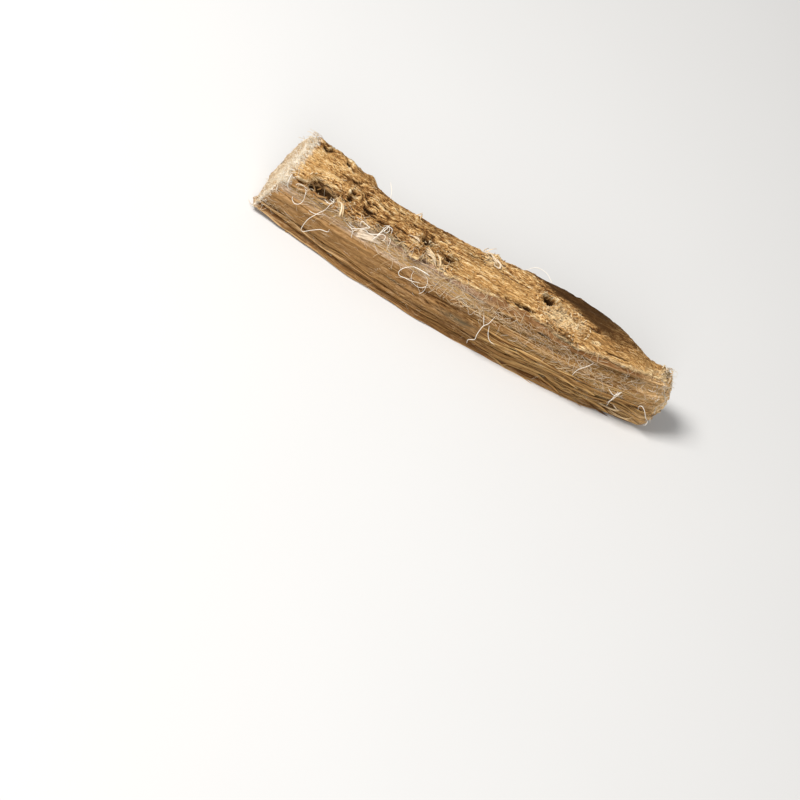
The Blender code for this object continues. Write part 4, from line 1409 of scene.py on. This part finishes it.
# How far the fibres in a finish drift aside, and over what length
DRIFT = 0.9
DRIFT_LENGTH = 2.6
DRY_GLEAM = 0.05
BUMP_STRENGTH = 0.8


def operator(operation, turned_round=False):
    """An operator on values, which adds its Math node."""

    def worked(self, other):
        pair = [other, self] if turned_round else [self, other]
        return self.finish.node("ShaderNodeMath", {"operation": operation}, pair)

    return worked


class Value:
    """A socket in a material that can be reckoned with as if it were a number."""

    def __init__(self, finish, socket):
        self.finish = finish
        self.socket = socket

    __add__ = __radd__ = operator("ADD")
    __mul__ = __rmul__ = operator("MULTIPLY")
    __sub__ = operator("SUBTRACT")
    __rsub__ = operator("SUBTRACT", turned_round=True)


class Finish:
    """A material in the making, with the words that this root's finishes are told in."""

    def __init__(self, name, roughness):
        self.material = bpy.data.materials.new(name)
        self.material.use_nodes = True
        self.tree = self.material.node_tree
        self.shader = self.tree.nodes["Principled BSDF"]
        self.shader.inputs["Roughness"].default_value = roughness
        self.shader.inputs["Specular IOR Level"].default_value = DRY_GLEAM
        place = self.node("ShaderNodeTexCoord", {}, [], OBJECT_PLACE)
        noise = {"Vector": place, "Scale": 1.0 / (DRIFT_LENGTH * MM), "Detail": 2.0}
        drift = self.node("ShaderNodeTexNoise", {}, noise, NOISE_COLOUR)
        aside = (0.0, DRIFT * MM, DRIFT * MM)
        add_on = {"operation": "MULTIPLY_ADD"}
        self.place = self.node("ShaderNodeVectorMath", add_on, [drift, aside, place])

    def node(self, kind, settings, sockets, output=0):
        """Adds a node: its settings first, then the values or links of its sockets, which
        are given by name, by number, or in order."""
        node = self.tree.nodes.new(kind)
        for name, setting in settings.items():
            if name == "stops":
                self.set_stops(node.color_ramp, setting)
            else:
                setattr(node, name, setting)
        named = sockets.items() if isinstance(sockets, dict) else enumerate(sockets)
        for name, value in named:
            self.join(node.inputs[name], value)
        return Value(self, node.outputs[output])

    def set_stops(self, ramp, stops):
        while len(ramp.elements) < len(stops):
            ramp.elements.new(1.0)
        for element, (place, colour) in zip(ramp.elements, stops):
            element.position = place
            element.color = (*colour, 1.0)

    def join(self, socket, value):
        if isinstance(value, Value):
            self.tree.links.new(value.socket, socket)
        else:
            socket.default_value = value

    def mark(self, name):
        return self.node("ShaderNodeAttribute", {"attribute_name": name}, [], MARK_VALUE)

    def streaks(self, length, width, detail, height=None, rough=0.6):
        """Streaks along the root, about so many millimetres long and wide, from 0 to 1."""
        steps = tuple(1.0 / (step * MM) for step in (length, width, height or width))
        stretch = {"operation": "MULTIPLY"}
        place = self.node("ShaderNodeVectorMath", stretch, [self.place, steps])
        noise = {"Vector": place, "Scale": 1.0, "Detail": detail, "Roughness": rough}
        return self.node("ShaderNodeTexNoise", {}, noise)

    def stronger(self, value, low, high):
        """The value stretched so that low becomes 0 and high becomes 1, and kept there."""
        ends = {"Value": value, "From Min": low, "From Max": high}
        return self.node("ShaderNodeMapRange", {}, ends)

    def colours(self, value, *stops):
        """The colours that a value goes through, each at its stop."""
        return self.node("ShaderNodeValToRGB", {"stops": stops}, [value])

    def coated(self, colour, *coats):
        """The colour under several coats, each given by how much it covers and its own."""
        kind = {"data_type": "RGBA", "clamp_factor": True}
        for share, coat in coats:
            sockets = {MIX_SHARE: share, MIX_FIRST: colour, MIX_SECOND: (*coat, 1.0)}
            colour = self.node("ShaderNodeMix", kind, sockets, MIX_COLOUR)
        return colour

    def finished(self, colour, bump=None, depth=0.0):
        """The material, with its colour and with a bump of so many millimetres."""
        self.join(self.shader.inputs["Base Color"], colour)
        if bump is not None:
            sockets = {"Height": bump, "Strength": BUMP_STRENGTH, "Distance": depth * MM}
            normal = self.node("ShaderNodeBump", {}, sockets)
            self.join(self.shader.inputs["Normal"], normal)
        return self.material


# Colours of the bark, the bast, the ends, the loose fibres and the floor
# Painted shade: the near black that the crevices, cracks, pits and hollows of bark and bast
# are coloured with
CREVICE_SHADE = (0.026, 0.011, 0.004)
DARK_BARK = (0.10, 0.045, 0.014)
BROWN_BARK = (0.29, 0.132, 0.043)
GOLD_BARK = (0.58, 0.33, 0.115)
TAN_BARK = (0.77, 0.54, 0.26)
# The bark's pale is partly its own colour and partly painted highlight on the crests
PALE_BARK_AND_HIGHLIGHT = (0.90, 0.75, 0.50)
SPONGY = (0.86, 0.69, 0.41)
# The smooth facet's brown, darkened further by painted shadow
FACET_BROWN_AND_SHADOW = (0.060, 0.027, 0.009)
RUST_BROWN = (0.19, 0.083, 0.028)
LOW_BROWN_AND_SHADE = (0.18, 0.078, 0.024)
CREAM = (0.82, 0.73, 0.58)
PALE_FLAKE = (0.88, 0.74, 0.58)
BAST_BROWN = (0.13, 0.055, 0.016)
BAST_OCHRE = (0.27, 0.143, 0.052)
BAST_TAN = (0.41, 0.230, 0.090)
BAST_PALE = (0.61, 0.42, 0.215)
STRIP_TAN = (0.38, 0.205, 0.072)
STRIP_PALE = (0.62, 0.40, 0.165)
PEELED_PINK = (0.62, 0.48, 0.36)
PEELED_BROWN_AND_SHADOW = (0.22, 0.10, 0.039)
WEB_PALE = (0.58, 0.385, 0.215)
GREY_OLIVE = (0.10, 0.075, 0.042)
STRAW = (0.83, 0.56, 0.28)
FIBRE_WHITE = (0.95, 0.89, 0.79)
HAIR_CREAM = (0.77, 0.56, 0.32)
FIBRE_TAN = (0.46, 0.30, 0.15)
FACE_SHADE = (0.42, 0.28, 0.16)
FACE_TAN = (0.64, 0.51, 0.35)
TORN_PALE = (0.85, 0.68, 0.42)
FLOOR_SHADE = (0.72, 0.716, 0.71)
FLOOR_LIGHT = (0.75, 0.746, 0.74)


def bark_finish():
    """Dried bark: painted shade makes it dark in its crevices, golden to tan with painted
    highlights on its crests, patched with dark.
    """
    f = Finish("bark", 0.86)
    wrinkles = f.streaks(1.4, 0.13, 3.0)
    crumbs = f.streaks(0.26, 0.09, 2.0)
    broad = f.streaks(5.0, 2.0, 3.0)
    gold, dark, pale = f.mark("gold"), f.mark("dark"), f.mark("pale")
    # Painted shade and highlight: the mark "lift" darkens the recesses towards near black
    # and lightens the crests towards the pale
    tone = f.mark("lift") * 0.7 + wrinkles * 1.6 + crumbs * 0.8 + broad * 0.6 - 1.42
    tone = tone + (gold * 0.10 - f.mark("brown") * 0.22)
    mottled = f.stronger(wrinkles * 0.6 + crumbs * 0.4, 0.36, 0.62)
    pits = f.stronger(f.streaks(0.3, 0.16, 1.0), 0.64, 0.72)
    dashes = f.stronger(f.streaks(1.2, 0.11, 1.0), 0.62, 0.70)
    colour = f.colours(
        tone,
        (0.02, CREVICE_SHADE),
        (0.22, DARK_BARK),
        (0.38, BROWN_BARK),
        (0.54, GOLD_BARK),
        (0.71, TAN_BARK),
        (0.93, PALE_BARK_AND_HIGHLIGHT),
    )
    colour = f.coated(
        colour,
        (gold * 0.35, GOLD_BARK),
        (pits * 0.6, DARK_BARK),
        (dashes * 0.8, DARK_BARK),
        # dark patches: partly the bark's own dark colour, partly painted shade over the
        # hollows, near black at their cores
        (dark * (1.1 - mottled * 0.7) * 0.85, DARK_BARK),
        ((dark - 0.6) * (1 - mottled) * 2.0, CREVICE_SHADE),
        (pale * mottled * 0.9, SPONGY),
        (pale * pits, DARK_BARK),
        # painted shade in the deep hollows and cracks
        (f.mark("pit") * 0.95, CREVICE_SHADE),
        # the smooth facet: its own dark brown with painted shadow
        (f.mark("facet") * (1.0 - mottled * 0.08), FACET_BROWN_AND_SHADOW),
        (f.mark("back") * 0.35, BROWN_BARK),
        (f.mark("lip") * (1 - dark) * mottled * 0.55, SPONGY),
        (f.mark("ends") * (0.25 + mottled * 0.6), SPONGY),
        (f.mark("rim") * (0.35 + mottled * 0.65), CREAM),
    )
    return f.finished(colour, wrinkles * 0.5 + crumbs * 0.5, 0.15)


def bast_finish():
    """Peeled bast: long fibres in brown, ochre and tan, with pale and grey stretches, and
    painted shade in its furrows, its hollows, under the bark's edge and low on the front.
    """
    f = Finish("bast", 0.8)
    fibres = f.streaks(2.4, 0.12, 3.0)
    bands = f.streaks(11.0, 0.75, 3.0)
    specks = f.streaks(0.5, 0.13, 2.0)
    lift, loose = f.mark("lift"), f.mark("loose")
    # Painted shade: the mark "lift" darkens the bast's furrows, and darkens the gaps
    # between loose strips more
    tone = lift * 0.7 + fibres * 1.0 + bands * 0.5 + specks * 0.8 - 1.06
    # lighter or darker along the root
    tone = tone - loose * 0.07 + f.mark("bleached")
    tone = tone + (tone - 0.45) * loose * 0.45
    tone = tone + (lift - 0.5) * loose * 0.6
    tone = tone + (0.58 - tone) * f.mark("calm") * 0.45
    strand = f.stronger(fibres * 0.6 + specks * 0.4, 0.38, 0.62)
    hazy = f.stronger(f.streaks(1.8, 0.8, 2.0), 0.48, 0.68)
    colour = f.colours(
        tone,
        (0.05, CREVICE_SHADE),
        (0.24, BAST_BROWN),
        (0.46, BAST_OCHRE),
        (0.66, BAST_TAN),
        (0.90, BAST_PALE),
    )
    colour = f.coated(
        colour,
        # low on the front: a browner band, darkened further by painted shade
        (f.mark("low") * (0.85 - strand * 0.35), LOW_BROWN_AND_SHADE),
        (hazy * strand * 0.4, WEB_PALE),
        (f.mark("web") * strand * hazy * 0.5, WEB_PALE),
        (f.mark("band") * (0.25 + strand * 0.75), PEELED_PINK),
        # just under the bark's edge: partly the rind's reddish brown, partly painted shadow
        # under the bark's lip
        (f.mark("rind") * (0.85 - strand * 0.6), PEELED_BROWN_AND_SHADOW),
        (f.mark("grey") * (1 - strand * 0.55), GREY_OLIVE),
        (f.mark("rust") * (0.85 - strand * 0.5), RUST_BROWN),
        # painted shade in the deep hollows of the peeled face
        (f.mark("hollow") * (1.0 - strand * 0.25), CREVICE_SHADE),
        (f.mark("straw") * (0.3 + strand * 0.7), STRAW),
        (f.mark("cut") * (0.5 + strand * 0.5), CREAM),
    )
    return f.finished(colour, fibres * 0.6 + specks * 0.5, 0.12)


def strand_finish(name, dark, middle, pale):
    """Loose strips, chips and fibres, each with its own tone between dark and pale."""
    f = Finish(name, 0.75)
    tone = f.mark("tone") * 0.7 + f.streaks(1.5, 0.2, 2.0) * 0.5 - 0.1
    return f.finished(f.colours(tone, (0.1, dark), (0.5, middle), (0.9, pale)))


def face_finish(name, shade, middle, pale, specks_colour):
    """An end's face: woolly pale fibres with darker specks, and a cream rim."""
    f = Finish(name, 0.9)
    wool = f.streaks(0.4, 0.18, 4.0)
    fibres = f.streaks(0.4, 0.13, 2.0, height=0.9, rough=0.5)
    specks = f.stronger(f.streaks(0.7, 0.35, 2.0), 0.62, 0.7)
    rim = f.stronger(f.mark("rim") + wool * 0.08, 0.985, 1.03)
    tone = f.mark("lift") * 0.6 + wool * 0.8 + fibres * 0.9 - 0.7
    colour = f.coated(
        f.colours(tone, (0.1, shade), (0.45, middle), (0.8, pale)),
        (specks * 0.8, specks_colour),
        (f.mark("low") * (0.85 - wool * 0.4), BAST_TAN),
        (rim * 0.7, CREAM),
    )
    return f.finished(colour, wool, 0.2)


def floor_finish():
    """A plain pale floor with a faint cloudiness."""
    f = Finish("pale_floor", 0.7)
    cloud = f.streaks(60.0, 60.0, 2.0)
    return f.finished(f.coated((*FLOOR_SHADE, 1.0), (cloud, FLOOR_LIGHT)))


# The camera looks at the root as the photograph does: turned down by so many degrees,
# rolled so that the root runs down to the right, from so far away
CAMERA_DOWN = np.radians(45.0)
CAMERA_ROLL = np.radians(31.3)
CAMERA_DISTANCE = 276.0
CAMERA_LENS = 100.0
CAMERA_NEAREST = 0.01
LOOKS_AT = Vector((-0.26, -0.54, 5.2))
AIM_DOWN = -16.7
AIM_RIGHT = 0.3
# The studio: the floor in metres, and each light's name, the direction that it shines
# from, its distance and size in millimetres, its power and its colour
FLOOR_REACH = 1.5
FLOOR_CORNERS = ((-1, -1), (1, -1), (1, 1), (-1, 1))
ROOM_LIGHT = 0.24
LIGHTS = (
    ("key", (-0.5, -0.2, 0.82), 380.0, 130.0, 1.6, (1.0, 0.985, 0.96)),
    ("fill", (0.2, -0.9, 0.5), 500.0, 240.0, 0.8, (1.0, 1.0, 1.0)),
)


def set_camera():
    """The camera, turned down first, then aimed so that the root lies where it does in
    the frame, then rolled."""
    back = Vector((0.0, -np.cos(CAMERA_DOWN), np.sin(CAMERA_DOWN)))
    up = Vector((0.0, np.sin(CAMERA_DOWN), np.cos(CAMERA_DOWN)))
    right = up.cross(back)
    place = LOOKS_AT + back * CAMERA_DISTANCE
    aim = LOOKS_AT + up * AIM_DOWN + right * AIM_RIGHT
    back = (place - aim).normalized()
    up = back.cross(right).normalized()
    right = up.cross(back)
    rolled_right = right * np.cos(CAMERA_ROLL) + up * np.sin(CAMERA_ROLL)
    rolled_up = up * np.cos(CAMERA_ROLL) - right * np.sin(CAMERA_ROLL)
    camera = put_in_scene("camera", bpy.data.cameras.new("camera"))
    camera.data.lens = CAMERA_LENS
    camera.data.clip_start = CAMERA_NEAREST
    camera.matrix_world = Matrix((rolled_right, rolled_up, back)).transposed().to_4x4()
    camera.matrix_world.translation = place * MM
    bpy.context.scene.camera = camera


def add_light(name, toward, distance, size, power, colour):
    """A square soft light that shines on the root from one direction."""
    lamp = bpy.data.lights.new(name, "AREA")
    lamp.shape = "SQUARE"
    lamp.size = size * MM
    lamp.energy = power
    lamp.color = colour
    light = put_in_scene(name, lamp)
    direction = Vector(toward).normalized()
    light.matrix_world = direction.to_track_quat("Z", "Y").to_matrix().to_4x4()
    light.matrix_world.translation = direction * distance * MM + LOOKS_AT * MM


def set_studio():
    """A plain pale floor, soft light from above and the left, and a weak fill in front."""
    corners = [(x * FLOOR_REACH, y * FLOOR_REACH, 0) for x, y in FLOOR_CORNERS]
    mesh = bpy.data.meshes.new("floor")
    mesh.from_pydata(corners, [], [(0, 1, 2, 3)])
    mesh.materials.append(floor_finish())
    floor = put_in_scene("floor", mesh)
    for light in LIGHTS:
        add_light(*light)
    world = bpy.data.worlds.new("studio")
    world.use_nodes = True
    background = world.node_tree.nodes["Background"]
    background.inputs["Color"].default_value = (1.0, 1.0, 1.0, 1.0)
    background.inputs["Strength"].default_value = ROOM_LIGHT
    bpy.context.scene.world = world
    bpy.context.scene.view_settings.view_transform = "Standard"


def dress_root():
    """Makes every piece of the root, from the bast outwards, each with its finish."""
    white = strand_finish("loose_fibres", FIBRE_TAN, CREAM, FIBRE_WHITE)
    web = strand_finish("fine_hairs", FIBRE_TAN, HAIR_CREAM, CREAM)
    cut = face_finish("cut_face", FACE_SHADE, FACE_TAN, CREAM, BROWN_BARK)
    torn = face_finish("torn_face", BAST_BROWN, STRAW, TORN_PALE, DARK_BARK)
    body = bast_sheet(bast_finish())
    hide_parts(NODE)
    bark_sheet(bark_finish())
    end_face("cut_face", CUT_END_X, CUT_DISH, -1.0, 71, cut)
    end_face("torn_face", BROKEN_END_X, TORN_MIDDLE, 1.0, 81, torn)
    bast_strips(strand_finish("bast_strips", BAST_BROWN, STRIP_TAN, STRIP_PALE))
    lamellae(strand_finish("lamellae", BAST_BROWN, BAST_TAN, BAST_PALE))
    bark_chips(strand_finish("bark_chips", BROWN_BARK, GOLD_BARK, PALE_BARK_AND_HIGHLIGHT))
    flakes(strand_finish("flakes", BROWN_BARK, TAN_BARK, PALE_FLAKE))
    edge_fringe(strand_finish("edge_fringe", BAST_OCHRE, BAST_PALE, CREAM))
    loose_fibres(white)
    fine_hairs("fine_hairs", HAIR_PLACES, 241, web)
    fine_hairs("rim_wool", WOOL_PLACES, 271, white)
    end_hairs("cut_hairs", CUT_END_X, -1.0, 300, (0.15, 0.6), 251, white)
    end_hairs("torn_hairs", BROKEN_END_X, 1.0, 320, (0.2, 0.7), 261, white)


set_camera()
set_studio()
dress_root()
